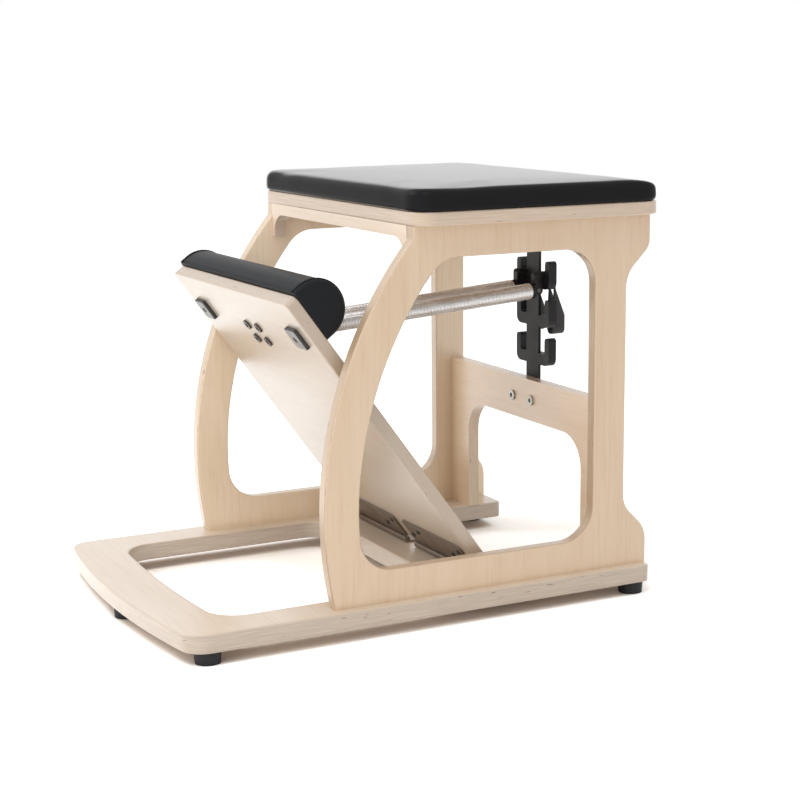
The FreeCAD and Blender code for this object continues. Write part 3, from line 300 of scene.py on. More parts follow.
def plywood(name, turn, tone_and_painted_light, rounded=0.0, edge_tone_and_painted_light=1.0):
    """Plywood with layers stacked along Z and face grain along X, after a turn.

    Its edges may be sanded round over a width. Its tone, and its edges being paler or darker than those
    of the other boards, are partly painted light and shade."""
    material, tree, output = new_material(name)
    spots = add(tree, "TexCoord").outputs
    place = rotated(tree, spots["Object"], turn)
    softened = add(tree, "Bevel", {"samples": 6}, Radius=rounded).outputs[0] if rounded else None
    facing = add(tree, "SeparateXYZ", Vector=rotated(tree, softened or spots["Normal"], turn))
    on_face = steps_between(tree, numbers(tree, "ABSOLUTE", facing.outputs["Z"], 0), 0.45, 0.92)

    broad = noise(tree, place, 2.2, 3.0, stretch=(1.2, 9, 9))
    fine = noise(tree, place, 2.0, 4.0, stretch=(6, 95, 95), roughness=0.6)
    specks = noise(tree, place, 2.0, 1.0, stretch=(22, 420, 420))
    streaks = numbers(tree, "MULTIPLY", steps_between(tree, fine, 0.46, 0.76), 0.36)
    pores = numbers(tree, "MULTIPLY", steps_between(tree, specks, 0.63, 0.75), 0.22)
    face = mix(tree, streaks, ramp(tree, broad, (0.30, PALE), (0.72, TAN)), LINE)
    face = mix(tree, pores, face, LINE)

    height = add(tree, "SeparateXYZ", Vector=place).outputs["Z"]
    ripple = numbers(tree, "MULTIPLY", noise(tree, place, 30.0, 2.0), 0.25)
    level = numbers(tree, "ADD", numbers(tree, "DIVIDE", height, LAYER), ripple)
    wave = numbers(tree, "SINE", numbers(tree, "MULTIPLY", level, 2 * math.pi), 0)
    layers = numbers(tree, "MULTIPLY", steps_between(tree, wave, -0.35, 0.35), 0.6)
    end_grain = noise(tree, place, 1.5, 3.0, stretch=(14, 14, 520))
    pale_edge, tan_edge = (tuple(v * edge_tone_and_painted_light for v in colour) for colour in (EDGE_PALE, EDGE_TAN))
    dark_layer = mix(tree, steps_between(tree, end_grain, 0.3, 0.75), tan_edge, TAN)
    edge = mix(tree, numbers(tree, "ADD", layers, 0.4), dark_layer, pale_edge)
    holes = noise(tree, place, 1.6, 0.0, stretch=(34, 34, 330))
    edge = mix(tree, steps_between(tree, holes, 0.83, 0.85), edge, VOID)
    # The board's tone multiplies its colour, and that tone is partly painted light and shade.
    colour = mix(tree, 1.0, mix(tree, on_face, edge, face), tone_and_painted_light, "MULTIPLY")

    relief = add(tree, "Bump", Height=fine, Strength=0.05, Distance=0.001)
    if softened:
        link(tree, softened, relief.inputs["Normal"])
    surface(tree, output, relief.outputs[0], Base_Color=colour, Roughness=0.42,
            Coat_Weight=1.0, Coat_Roughness=0.25, Coat_IOR=1.6)
    return material


# %% Boards


def dress(finishes):
    """Gives pieces of the frame their materials, and counts the pieces."""
    for material, nodes in finishes.items():
        for node in nodes:
            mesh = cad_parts[node].data
            mesh.materials.clear()
            mesh.materials.append(material)
    return sum(len(nodes) for nodes in finishes.values())


QUARTER = math.pi / 2
PEDAL_TILT = math.radians(53.7)
SANDED = 0.009
UPRIGHT, CROSSWISE, LYING, TILTED = (0, QUARTER, 0), (QUARTER, 0, 0), (0, 0, 0), (PEDAL_TILT, 0, 0)
# Each board's tone is partly painted light and shade: the right panel, brace, rail and apron are paler as
# painted light inside the frame, the left panel darker and warmer as painted shade, the base, seat and
# pedal bluer as a painted reflection of the white room, the pedal darker as painted shade with its edges
# paler as painted light, and the base's edges darker as painted shade.
BOARDS = {
    plywood("left_panel_plywood", UPRIGHT, (0.89, 0.845, 0.78)): ["left_side_panel"],
    plywood("right_panel_plywood", UPRIGHT, (1.14, 1.16, 1.15)): ["right_side_panel"],
    plywood("cross_plywood", CROSSWISE, (1.18, 1.17, 1.16)): ["rear_brace", "rear_rail"],
    plywood("apron_plywood", CROSSWISE, (1.03, 1.04, 1.09)): ["front_apron"],
    plywood("base_plywood", LYING, (0.95, 1.0, 1.09), rounded=SANDED, edge_tone_and_painted_light=0.92): ["base_board"],
    plywood("seat_plywood", LYING, (1.04, 1.05, 1.09)): ["seat_board"],
    plywood("pedal_plywood", TILTED, (0.66, 0.68, 0.715), edge_tone_and_painted_light=1.3): ["pedal_board"],
}
print("plywood on", dress(BOARDS), "boards")

# %% [markdown]
# ## Metal and rubber
#
# The spring tree, the anchor plate and the springs' end caps are steel with a black powder coat, which is
# a little pebbled. The hinges are plated dark bronze and worn by handling. The frame's bolts and screws
# are grey zinc, and the anchor's bolts and the pins are darker. The feet are moulded black rubber, and so
# are the bumpers, whose striking face is painted pale grey with some noise as a painted reflection.
# All keep the measured shapes, so they only need their surfaces.

# %% Metal and rubber recipes


def plain(name, colour, roughness, metallic=0.0, shine=0.5, pebble=None, spread=0.0):
    """A surface of one colour. It may have a pebble of some strength and scale, and an uneven gloss."""
    material, tree, output = new_material(name)
    place = add(tree, "TexCoord").outputs["Object"]
    normal = None
    if pebble:
        strength, scale = pebble
        normal = add(tree, "Bump", Height=noise(tree, place, scale, 2.0), Strength=strength,
                     Distance=0.0005).outputs[0]
    shader = surface(tree, output, normal, Base_Color=(*colour, 1), Roughness=roughness,
                     Metallic=metallic, Specular_IOR_Level=shine)
    if spread:
        wear = noise(tree, place, 38.0, 4.0)
        varied = from_noise(tree, wear, roughness - spread, roughness + spread)
        link(tree, varied, shader.inputs["Roughness"])
    return material


def bumper_rubber_painted_reflection(name, turn):
    """Black rubber whose striking face, which points down from the pedal, is painted pale grey with some
    noise as a painted reflection.
    """
    material, tree, output = new_material(name)
    spots = add(tree, "TexCoord").outputs
    facing = add(tree, "SeparateXYZ", Vector=rotated(tree, spots["Normal"], turn))
    down = numbers(tree, "MULTIPLY", facing.outputs["Z"], -1.0)
    reflection_noise = noise(tree, spots["Object"], 60.0, 4.0)
    painted_reflection_grey = ramp(tree, reflection_noise, (0.3, (0.17, 0.165, 0.16)), (0.7, (0.29, 0.283, 0.275)))
    # Painted reflection: the face that points down is painted pale grey, and the sides stay black.
    colour = mix(tree, steps_between(tree, down, 0.75, 0.98), (0.03, 0.029, 0.028), painted_reflection_grey)
    surface(tree, output, Base_Color=colour, Roughness=0.4)
    return material


powder_coat = plain("black_powder_coat", (0.014, 0.014, 0.015), roughness=0.42, shine=0.22,
                    pebble=(0.25, 1300.0), spread=0.06)
black_bolt = plain("black_bolt", (0.10, 0.088, 0.077), roughness=0.36, metallic=0.8, spread=0.05)
bronze = plain("hinge_bronze", (0.215, 0.17, 0.135), roughness=0.38, metallic=0.85, spread=0.10)
grey_zinc = plain("grey_zinc", (0.42, 0.41, 0.39), roughness=0.34, metallic=1.0, spread=0.06)
rubber = plain("black_rubber", (0.016, 0.016, 0.017), roughness=0.55, shine=0.25, pebble=(0.12, 700.0))
dowel_wood = plain("dowel_beech", (0.62, 0.44, 0.28), roughness=0.5)
bumper_painted_reflection = bumper_rubber_painted_reflection("bumper_rubber_painted_reflection", TILTED)

FINISHES = {
    powder_coat: ["spring_tree", "spring_anchor", "left_spring_eye", "right_spring_eye",
                  "left_spring_tail", "right_spring_tail"],
    black_bolt: ["anchor_bolts", "hook_pins", "anchor_pins"],
    bronze: ["left_hinge_base_leaf", "right_hinge_base_leaf", "left_hinge_pedal_leaf",
             "right_hinge_pedal_leaf", "left_hinge_pin", "right_hinge_pin"],
    grey_zinc: ["brace_bolts", "brace_nuts", "rail_bolts", "rail_nuts", "foot_screws", "panel_screws",
                "seat_screws", "bumper_screws"],
    rubber: ["front_left_foot", "front_right_foot", "front_middle_foot", "rear_left_foot",
             "rear_right_foot"],
    bumper_painted_reflection: ["left_bumper", "right_bumper"],
    dowel_wood: ["brace_dowels", "rail_dowels", "apron_dowels"],
}
print("finished", dress(FINISHES), "small pieces")

# %% [markdown]
# ## Upholstery vinyl
#
# The seat and the pedal pad are covered in black vinyl with a fine leathery emboss. It is dark seen
# straight on, and pale where the eye skims it, because there a smooth coat mirrors the bright room.

# %% Vinyl recipe


def vinyl(name, colour, roughness, gleam, shine):
    """Embossed vinyl: small cells and a slow unevenness in the normal."""
    material, tree, output = new_material(name)
    place = add(tree, "TexCoord").outputs["Object"]
    cells = add(tree, "TexVoronoi", {"feature": "DISTANCE_TO_EDGE"}, Vector=place, Scale=900.0)
    creases = steps_between(tree, cells.outputs["Distance"], 0.0, 0.12)
    emboss = add(tree, "Bump", Height=creases, Strength=0.10, Distance=0.0004).outputs[0]
    slow = noise(tree, place, 9.0, 2.0)
    uneven = add(tree, "Bump", Height=slow, Strength=0.12, Distance=0.004, Normal=emboss).outputs[0]
    skimmed = add(tree, "LayerWeight", Blend=0.5).outputs["Facing"]
    coat = numbers(tree, "MULTIPLY", steps_between(tree, skimmed, 0.66, 0.80), gleam)
    surface(tree, output, uneven, Base_Color=(*colour, 1), Roughness=roughness,
            Specular_IOR_Level=shine, Coat_Weight=coat, Coat_Roughness=0.12, Coat_IOR=1.7)
    return material


seat_vinyl = vinyl("seat_vinyl", (0.0145, 0.0145, 0.016), roughness=0.24, gleam=0.68, shine=0.04)
pad_vinyl = vinyl("pad_vinyl", (0.017, 0.018, 0.020), roughness=0.42, gleam=0.05, shine=0.06)
print("vinyl", seat_vinyl.name, pad_vinyl.name)

# %% [markdown]
# ## Seat cushion
#
# The real cushion is a slab of foam on the seat board, with the vinyl pulled over it and stapled below.
# It is drawn first as a slab with rounded corners and a rounded rim, whose top rolls down at the rear,
# where the foam is worn from people climbing on and off. Then the cover is treated as cloth
# that a little pressure blows up from inside, so the top crowns and the sides swell as foam does.
# The bottom is held still, because it lies on the board.

# %% Cushion slab
CUSHION_SIDE = 0.0315
COVER_INSET = 0.001
REAR_RIM_LOSS = 0.65
RIM_STEPS, SIDE_ROWS = 4, 4


def to_mesh(shape, name):
    """A mesh from a finished shape, which is freed."""
    mesh = bpy.data.meshes.new(name)
    shape.to_mesh(mesh)
    shape.free()
    return mesh


def new_piece(name, mesh, material):
    """A mesh object at the origin, smooth shaded, with one material."""
    mesh.materials.clear()
    mesh.materials.append(material)
    for face in mesh.polygons:
        face.use_smooth = True
    piece = bpy.data.objects.new(name, mesh)
    bpy.context.collection.objects.link(piece)
    return piece


def rim_lines(half, rim, pitch):
    """Places of grid lines from -half to half, closer together over the rim at both ends."""
    close = [rim * (1 - math.cos(step * QUARTER / RIM_STEPS)) for step in range(RIM_STEPS)]
    inner = half - rim
    count = round(2 * inner / pitch)
    middle = [-inner + 2 * inner * step / count for step in range(count + 1)]
    return [-half + c for c in close] + middle + [half - c for c in reversed(close)]


def slab(half_x, half_y, height, corner, rim, tuck, fall, fall_length, pitch):
    """A slab on the XY plane with round corners and rims, whose top rolls down towards the rear."""
    def plan(x, y):
        dx, dy = abs(x) - (half_x - corner), abs(y) - (half_y - corner)
        if dx <= 0 or dy <= 0:
            return x, y, min(half_x - abs(x), half_y - abs(y))
        shrink = max(dx, dy) / math.hypot(dx, dy)
        inside = corner - max(dx, dy)
        return (math.copysign(half_x - corner + dx * shrink, x),
                math.copysign(half_y - corner + dy * shrink, y), inside)

    def drop(inside, radius):
        return radius - math.sqrt(max(radius ** 2 - max(radius - inside, 0) ** 2, 0))

    shape = bmesh.new()
    xs, ys = rim_lines(half_x, rim, pitch), rim_lines(half_y, rim, pitch)
    sheets = []
    for level in (0, 1):
        rows = []
        for x in xs:
            row = []
            for y in ys:
                px, py, inside = plan(x, y)
                rolled = min(max(py - half_y + fall_length, 0) / fall_length, 1)
                lowered = fall * (1 - math.sqrt(1 - rolled ** 2))
                top = height - lowered - drop(inside, rim * (1 - REAR_RIM_LOSS * rolled))
                row.append(shape.verts.new((px, py, top if level else drop(inside, tuck))))
            rows.append(row)
        sheets.append(rows)
    nx, ny = len(xs), len(ys)
    for level, rows in enumerate(sheets):
        for i in range(nx - 1):
            for j in range(ny - 1):
                corners = [rows[i][j], rows[i + 1][j], rows[i + 1][j + 1], rows[i][j + 1]]
                shape.faces.new(corners if level else corners[::-1])
    border = [(i, 0) for i in range(nx)] + [(nx - 1, j) for j in range(1, ny)]
    border += [(i, ny - 1) for i in range(nx - 2, -1, -1)] + [(0, j) for j in range(ny - 2, 0, -1)]
    walls = []
    for i, j in border:
        low, high = sheets[0][i][j], sheets[1][i][j]
        column = [low]
        for step in range(1, SIDE_ROWS):
            column.append(shape.verts.new(low.co.lerp(high.co, step / SIDE_ROWS)))
        walls.append(column + [high])
    for here, there in zip(walls, walls[1:] + walls[:1]):
        for step in range(SIDE_ROWS):
            shape.faces.new([here[step], there[step], there[step + 1], here[step + 1]])
    return to_mesh(shape, "slab")


seat_low, seat_high = (Vector(corner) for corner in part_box("seat_cushion"))
seat_middle = (seat_low + seat_high) / 2
half_wide, half_deep = (seat_high.x - seat_low.x) / 2, (seat_high.y - seat_low.y) / 2
mesh = slab(half_wide - COVER_INSET, half_deep - COVER_INSET, CUSHION_SIDE, corner=0.034,
            rim=0.013, tuck=0.006, fall=0.013, fall_length=0.070, pitch=0.011)
mesh.transform(Matrix.Translation((seat_middle.x, seat_middle.y, seat_low.z)))
cushion = new_piece("seat_cushion_cover", mesh, seat_vinyl)
print("cushion", len(mesh.vertices), "points,", round(2 * half_wide, 3), "m wide")

# %% Cushion blown up from inside
AIR_PRESSURE, AIR_FRAMES = 4.0, 20
CROWN, CUSHION_HELD = 0.0042, 0.004


def with_modifiers(piece):
    """The piece as its modifiers make it."""
    return piece.evaluated_get(bpy.context.evaluated_depsgraph_get())


def blow_up(piece, held, most):
    """Runs the cover as cloth with air in it, and lets no point move further than most."""
    before = [v.co.copy() for v in piece.data.vertices]
    pins = piece.vertex_groups.new(name="held")
    pins.add([v.index for v in piece.data.vertices if held(v.co)], 1.0, "REPLACE")
    modifier = piece.modifiers.new("cover", "CLOTH")
    cloth = modifier.settings
    cloth.use_pressure = True
    cloth.uniform_pressure_force = AIR_PRESSURE
    cloth.effector_weights.gravity = 0.0
    cloth.vertex_group_mass = "held"
    cloth.tension_stiffness = 40
    cloth.compression_stiffness = 40
    cloth.bending_stiffness = 8
    modifier.point_cache.frame_start = 1
    modifier.point_cache.frame_end = AIR_FRAMES
    scene = bpy.context.scene
    for frame_number in range(1, AIR_FRAMES + 1):
        scene.frame_set(frame_number)
    after = [v.co.copy() for v in with_modifiers(piece).data.vertices]
    piece.modifiers.clear()
    piece.vertex_groups.clear()
    scene.frame_set(1)
    furthest = max((b - a).length for a, b in zip(before, after))
    for vertex, a, b in zip(piece.data.vertices, before, after):
        vertex.co = a + (b - a) * (most / max(most, furthest))
    return furthest


def finer(piece):
    """Subdivides the cover smoothly into a plain mesh."""
    modifier = piece.modifiers.new("finer", "SUBSURF")
    modifier.levels = 1
    mesh = bpy.data.meshes.new_from_object(with_modifiers(piece))
    piece.modifiers.clear()
    piece.data = mesh


furthest = 0
furthest = blow_up(cushion, lambda p: p.z < seat_low.z + CUSHION_HELD, CROWN)
finer(cushion)
top = max(v.co.z for v in cushion.data.vertices)
print("cushion moved", round(furthest * 1000, 1), "mm before the cap, top at", round(top, 4))
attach(cushion, "frame")
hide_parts("seat_cushion")

# %% [markdown]
# ## Pedal pad
#
# The foot end of the pedal carries a half-round roll of foam under the same vinyl, closed by a cap at
# each end. A welt, which is a thin cord inside a folded strip, is sewn into the seam round each cap.
# The roll is drawn as one section carried along the pedal, in the pedal's own directions, and is then
# blown up a little and tilted into place with the pedal's matrix.

# %% Pad
HINGE = Vector((0, 0.1075, 0.049))
pedal_matrix = Matrix.Translation(HINGE) @ Matrix.Rotation(-PEDAL_TILT, 4, "X")
pad_low, pad_high = (Vector(corner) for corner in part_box("pedal_pad"))
PAD_OVERHANG = 0.001
PAD_HALF = (pad_high.x - pad_low.x) / 2 + PAD_OVERHANG
PAD_FROM, PAD_TO = 0.434, 0.518
PAD_BASE, PAD_SIDE, PAD_ROUND = 0.024, 0.013, 0.042
PAD_END, PAD_PITCH = 0.007, 0.012
PAD_SWELL, PAD_HELD = 0.0018, 0.001
FLAT_STEPS, ARC_STEPS = 8, 32
CAP_SHARES = (0.8, 0.45, 0.15)


def pad_section():
    """Points of the half-round section, across the pedal and upwards, with the way each one faces."""
    middle = -(PAD_FROM + PAD_TO) / 2
    points = [(middle - PAD_ROUND + 2 * PAD_ROUND * step / FLAT_STEPS, PAD_BASE, 0, 0)
              for step in range(FLAT_STEPS + 1)]
    points.append((middle + PAD_ROUND, PAD_BASE + PAD_SIDE / 2, 1, 0))
    for step in range(ARC_STEPS + 1):
        angle = math.pi * step / ARC_STEPS
        fy, fz = math.cos(angle), math.sin(angle)
        points.append((middle + PAD_ROUND * fy, PAD_BASE + PAD_SIDE + PAD_ROUND * fz, fy, fz))
    points.append((middle - PAD_ROUND, PAD_BASE + PAD_SIDE / 2, -1, 0))
    return points


def roll(section, half, end_round, pitch):
    """The section carried from -half to half, drawn in over a rounded end, with closed caps."""
    shape = bmesh.new()
    rings = []
    for x in rim_lines(half, end_round, pitch):
        depth = max(end_round - (half - abs(x)), 0)
        inset = end_round - math.sqrt(end_round ** 2 - depth ** 2)
        rings.append([shape.verts.new((x, y - fy * inset, z - fz * inset)) for y, z, fy, fz in section])
    for here, there in zip(rings, rings[1:]):
        for i in range(len(section)):
            j = (i + 1) % len(section)
            shape.faces.new([here[i], there[i], there[j], here[j]])
    for ring, sign in ((rings[0], 1), (rings[-1], -1)):
        middle = sum((v.co for v in ring), Vector()) / len(ring)
        outer = ring
        for share in CAP_SHARES:
            inner = [shape.verts.new(middle.lerp(v.co, share)) for v in ring]
            for i in range(len(ring)):
                j = (i + 1) % len(ring)
                corners = [outer[i], outer[j], inner[j], inner[i]]
                shape.faces.new(corners if sign > 0 else corners[::-1])
            outer = inner
        shape.faces.new(outer if sign > 0 else outer[::-1])
    bmesh.ops.recalc_face_normals(shape, faces=shape.faces)
    return to_mesh(shape, "roll")


section = pad_section()
pad = new_piece("pedal_pad_cover", roll(section, PAD_HALF, PAD_END, PAD_PITCH), pad_vinyl)
blow_up(pad, lambda p: p.z < PAD_BASE + PAD_HELD or abs(p.x) > PAD_HALF - PAD_END, PAD_SWELL)
finer(pad)
pad.data.transform(pedal_matrix)
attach(pad, "pedal")
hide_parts("pedal_pad")
print("pad", round(2 * PAD_HALF, 3), "m long,", len(pad.data.polygons), "faces")

# %% Welts round the pad's ends
WELT, WELT_SIDES = 0.0013, 10
WELT_SET_IN = 0.008
WELT_PROUD = 0.0002


def tube(path, radius, sides):
    """A round cord along a row of points, with closed ends."""
    shape = bmesh.new()
    across = Vector((1, 0, 0))
    angles = [2 * math.pi * side / sides for side in range(sides)]
    rings = []
    for i, point in enumerate(path):
        ahead = (path[min(i + 1, len(path) - 1)] - path[max(i - 1, 0)]).normalized()
        other = ahead.cross(across).normalized()
        rings.append([shape.verts.new(point + across * radius * math.cos(a)
                                      + other * radius * math.sin(a)) for a in angles])
    for here, there in zip(rings, rings[1:]):
        for i in range(sides):
            j = (i + 1) % sides
            shape.faces.new([here[i], here[j], there[j], there[i]])
    for ring in (rings[0], rings[-1]):
        shape.faces.new(ring)
    bmesh.ops.recalc_face_normals(shape, faces=shape.faces)
    return to_mesh(shape, "tube")


rim = section[FLAT_STEPS:] + section[:1]
for side, sign in (("left", 1), ("right", -1)):
    welt_x = sign * (PAD_HALF - WELT_SET_IN)
    path = [Vector((welt_x, y + fy * WELT_PROUD, z + fz * WELT_PROUD)) for y, z, fy, fz in rim]
    welt = new_piece(f"{side}_pad_welt", tube(path, WELT, WELT_SIDES), pad_vinyl)
    welt.data.transform(pedal_matrix)
    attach(welt, "pedal")
print("welts of", len(rim), "points each")

# %% [markdown]
# ## Springs
#
# Each spring is one steel wire wound tightly round a rod, so the turns touch while it is at rest.
# A spiral with a fixed number of turns gives the middle line of the wire, and a small circle carried
# along it gives the wire. Geometry Nodes makes both from a few named inputs.

# %% Spring steel and the winding


def spring_steel(name):
    """Drawn wire: warm grey metal with faint lengthwise streaks."""
    material, tree, output = new_material(name)
    place = add(tree, "TexCoord").outputs["Object"]
    streak = noise(tree, place, 2.0, 3.0, stretch=(160, 14, 160))
    colour = ramp(tree, streak, (0.25, (0.66, 0.65, 0.65)), (0.75, (0.85, 0.84, 0.84)))
    surface(tree, output, Base_Color=colour, Metallic=1.0, Roughness=from_noise(tree, streak, 0.24, 0.32))
    return material


class Recipe:
    """A Geometry Nodes tree with named inputs, its nodes added and joined one by one."""

    def __init__(self, name, inputs):
        self.tree = bpy.data.node_groups.new(name, "GeometryNodeTree")
        sockets = self.tree.interface
        sockets.new_socket("Geometry", in_out="OUTPUT", socket_type="NodeSocketGeometry")
        sockets.new_socket("Geometry", in_out="INPUT", socket_type="NodeSocketGeometry")
        self.keys = {}
        for label, kind in inputs.items():
            socket = sockets.new_socket(label, in_out="INPUT", socket_type=f"NodeSocket{kind}")
            self.keys[label] = socket.identifier
        self.given = self.tree.nodes.new("NodeGroupInput").outputs
        self.result = self.tree.nodes.new("NodeGroupOutput").inputs[0]

    def node(self, kind, settings=None, **values):
        """The first output of a new node of the tree."""
        return set_up(self.tree, self.tree.nodes.new(kind), settings, values).outputs[0]

    def end(self, geometry):
        """Turns copies into real geometry and gives them the chosen material."""
        real = self.node("GeometryNodeRealizeInstances", Geometry=geometry)
        coated = self.node("GeometryNodeSetMaterial", Geometry=real, Material=self.given["Material"])
        link(self.tree, coated, self.result)

    def make(self, name, mesh, material, **values):
        """Runs the tree on a mesh with these inputs, and gives back a plain piece."""
        carrier = bpy.data.objects.new(name, mesh)
        bpy.context.collection.objects.link(carrier)
        modifier = carrier.modifiers.new("recipe", "NODES")
        modifier.node_group = self.tree
        for label, value in values.items():
            modifier[self.keys[label.replace("_", " ")]] = value
        modifier[self.keys["Material"]] = material
        made = bpy.data.meshes.new_from_object(with_modifiers(carrier))
        carrier.modifiers.clear()
        bpy.data.objects.remove(carrier)
        return new_piece(name, made, material)


winding = Recipe("wound_spring", {"Turns": "Float", "Coil radius": "Float", "Wire radius": "Float",
                                  "Length": "Float", "Material": "Material"})
given = winding.given
middle_line = winding.node("GeometryNodeCurveSpiral", Resolution=26, Rotations=given["Turns"],
                           Start_Radius=given["Coil radius"], End_Radius=given["Coil radius"],
                           Height=given["Length"])
wire_ring = winding.node("GeometryNodeCurvePrimitiveCircle", Resolution=8, Radius=given["Wire radius"])
winding.end(winding.node("GeometryNodeCurveToMesh", Curve=middle_line, Profile_Curve=wire_ring,
                         Fill_Caps=True))

# %% The two springs
wire_steel = spring_steel("spring_steel")
SPRING_TAIL = Vector((0, 0.3145, 0.431))
SPRING_EYE = Vector((0, -0.090621, 0.399788))
SPRING_X = 0.027
COIL_FROM, COIL_BEFORE_EYE = 0.013, 0.032
WIRE, TURN_GAP = 0.0024, 0.00003
OUTER = 0.0125
along = (SPRING_EYE - SPRING_TAIL).normalized()
aimed = along.to_track_quat("Z", "X").to_matrix().to_4x4()
coil_length = (SPRING_EYE - SPRING_TAIL).length - COIL_FROM - COIL_BEFORE_EYE
turns = int((coil_length - WIRE) / (WIRE + TURN_GAP))
for side, sign in (("left", 1), ("right", -1)):
    rear = SPRING_TAIL + along * COIL_FROM + Vector((sign * SPRING_X, 0, 0))
    front = rear + along * coil_length
    spring = winding.make(f"{side}_wound_spring", bpy.data.meshes.new("spring_carrier"), wire_steel,
                          Turns=float(turns), Coil_radius=OUTER - WIRE / 2, Wire_radius=WIRE / 2,
                          Length=coil_length - WIRE)
    spring.data.transform(Matrix.Translation(rear + along * (WIRE / 2)) @ aimed)
    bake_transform(spring)
    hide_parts(f"{side}_spring")
print("springs", turns, "turns over", round(coil_length, 4), "m, faces", len(spring.data.polygons))

# %% [markdown]
# ## Hooks and pull straps
#
# Each spring hangs on a hook in the tree, and the tail of the hook lies close behind the tree's blocks.
# The measured hook is copied, its loose triangles are merged, and its tail is drawn in to that place.
# A loop of nylon webbing hangs from the tail, to pull the hook out of its slot.
# The band is narrow where it is folded through the tail's hole and opens to its full width below.
# It is a flat section carried round the loop, with its width read from the height. Its weave follows the
# band's own length and width, which are kept as a UV map.

# %% Hooks
TAIL_DEPTH = 0.4
MERGE_WITHIN, SHARP_ANGLE = 0.000001, math.radians(30)
tree_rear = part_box("spring_tree")[1][1]


def drawn_in(y):
    """Brings what lies behind the spring tree closer to it."""
    return min(y, tree_rear) + max(y - tree_rear, 0) * TAIL_DEPTH


for side in ("left", "right"):
    shape = bmesh.new()
    shape.from_mesh(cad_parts[f"{side}_spring_hook"].data)
    bmesh.ops.remove_doubles(shape, verts=shape.verts, dist=MERGE_WITHIN)
    for vertex in shape.verts:
        vertex.co.y = drawn_in(vertex.co.y)
    mesh = to_mesh(shape, "hook")
    hook = new_piece(f"{side}_slim_hook", mesh, powder_coat)
    mesh.set_sharp_from_angle(angle=SHARP_ANGLE)
    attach(hook, "frame")
    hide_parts(f"{side}_spring_hook")
hook_reach = drawn_in(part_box("left_spring_hook")[1][1]) - tree_rear
print("hooks end", round(hook_reach * 1000, 1), "mm behind the tree")

# %% Webbing and straps
RIB, YARN = 0.0016, 0.0014
STRAP_WEB, STRAP_WIDTH, STRAP_NECK = 0.0024, 0.022, 0.003
STRAP_SHOULDER, STRAP_TAPER = 0.008, 0.050
HALF_STEPS, SIDE_STEPS, BEND_STEPS = 4, 20, 12
# How far out the band is flat, and how much of its thickness is left at its edges.
BAND_FLAT, BAND_EDGE = 0.85, 0.55
BAND_OUTLINE = ((1, -1), (1, 1), (BAND_FLAT, 1), (0, 1), (-BAND_FLAT, 1),
                (-1, 1), (-1, -1), (-BAND_FLAT, -1), (0, -1), (BAND_FLAT, -1))


def webbing(name):
    """Black nylon band: ribs across the band, broken by the weave along it."""
    material, tree, output = new_material(name)
    band = add(tree, "SeparateXYZ", Vector=add(tree, "UVMap", {"uv_map": "band"}).outputs[0])
    ribs = numbers(tree, "SINE", numbers(tree, "MULTIPLY", band.outputs["X"], 2 * math.pi / RIB), 0)
    yarns = numbers(tree, "SINE", numbers(tree, "MULTIPLY", band.outputs["Y"], 2 * math.pi / YARN), 0)
    weave = numbers(tree, "MULTIPLY", ribs, yarns)
    height = numbers(tree, "ADD", numbers(tree, "MULTIPLY", weave, 0.5), 0.5)
    relief = add(tree, "Bump", Height=height, Strength=0.6, Distance=0.0004).outputs[0]
    # The colour follows the weave's height and is darker where it is low: painted shade in the weave's
    # hollows.
    colour = mix(tree, height, (0.012, 0.012, 0.013), (0.045, 0.045, 0.047))
    surface(tree, output, relief, Base_Color=colour, Roughness=0.7, Sheen_Weight=0.25)
    return material


def strap_loop(low, high):
    """Middle line of the band in the XZ plane, as a closed loop that hangs between two heights."""
    half = (high.x - low.x) / 2 - STRAP_WEB / 2
    top, bottom = high.z - STRAP_WEB / 2, low.z + STRAP_WEB / 2 + half
    bend = [math.pi * step / BEND_STEPS for step in range(1, BEND_STEPS)]
    points = [(half * (1 - step / HALF_STEPS), top) for step in range(1, 2 * HALF_STEPS)]
    points += [(-half, top + (bottom - top) * step / SIDE_STEPS) for step in range(SIDE_STEPS + 1)]
    points += [(-half * math.cos(angle), bottom - half * math.sin(angle)) for angle in bend]
    points += [(half, bottom + (top - bottom) * step / SIDE_STEPS) for step in range(SIDE_STEPS + 1)]
    return points


def opened(drop):
    """0 at the neck of the band and 1 where it has its full width, by the distance below its top."""
    return min(max((drop - STRAP_SHOULDER) / (STRAP_TAPER - STRAP_SHOULDER), 0), 1)


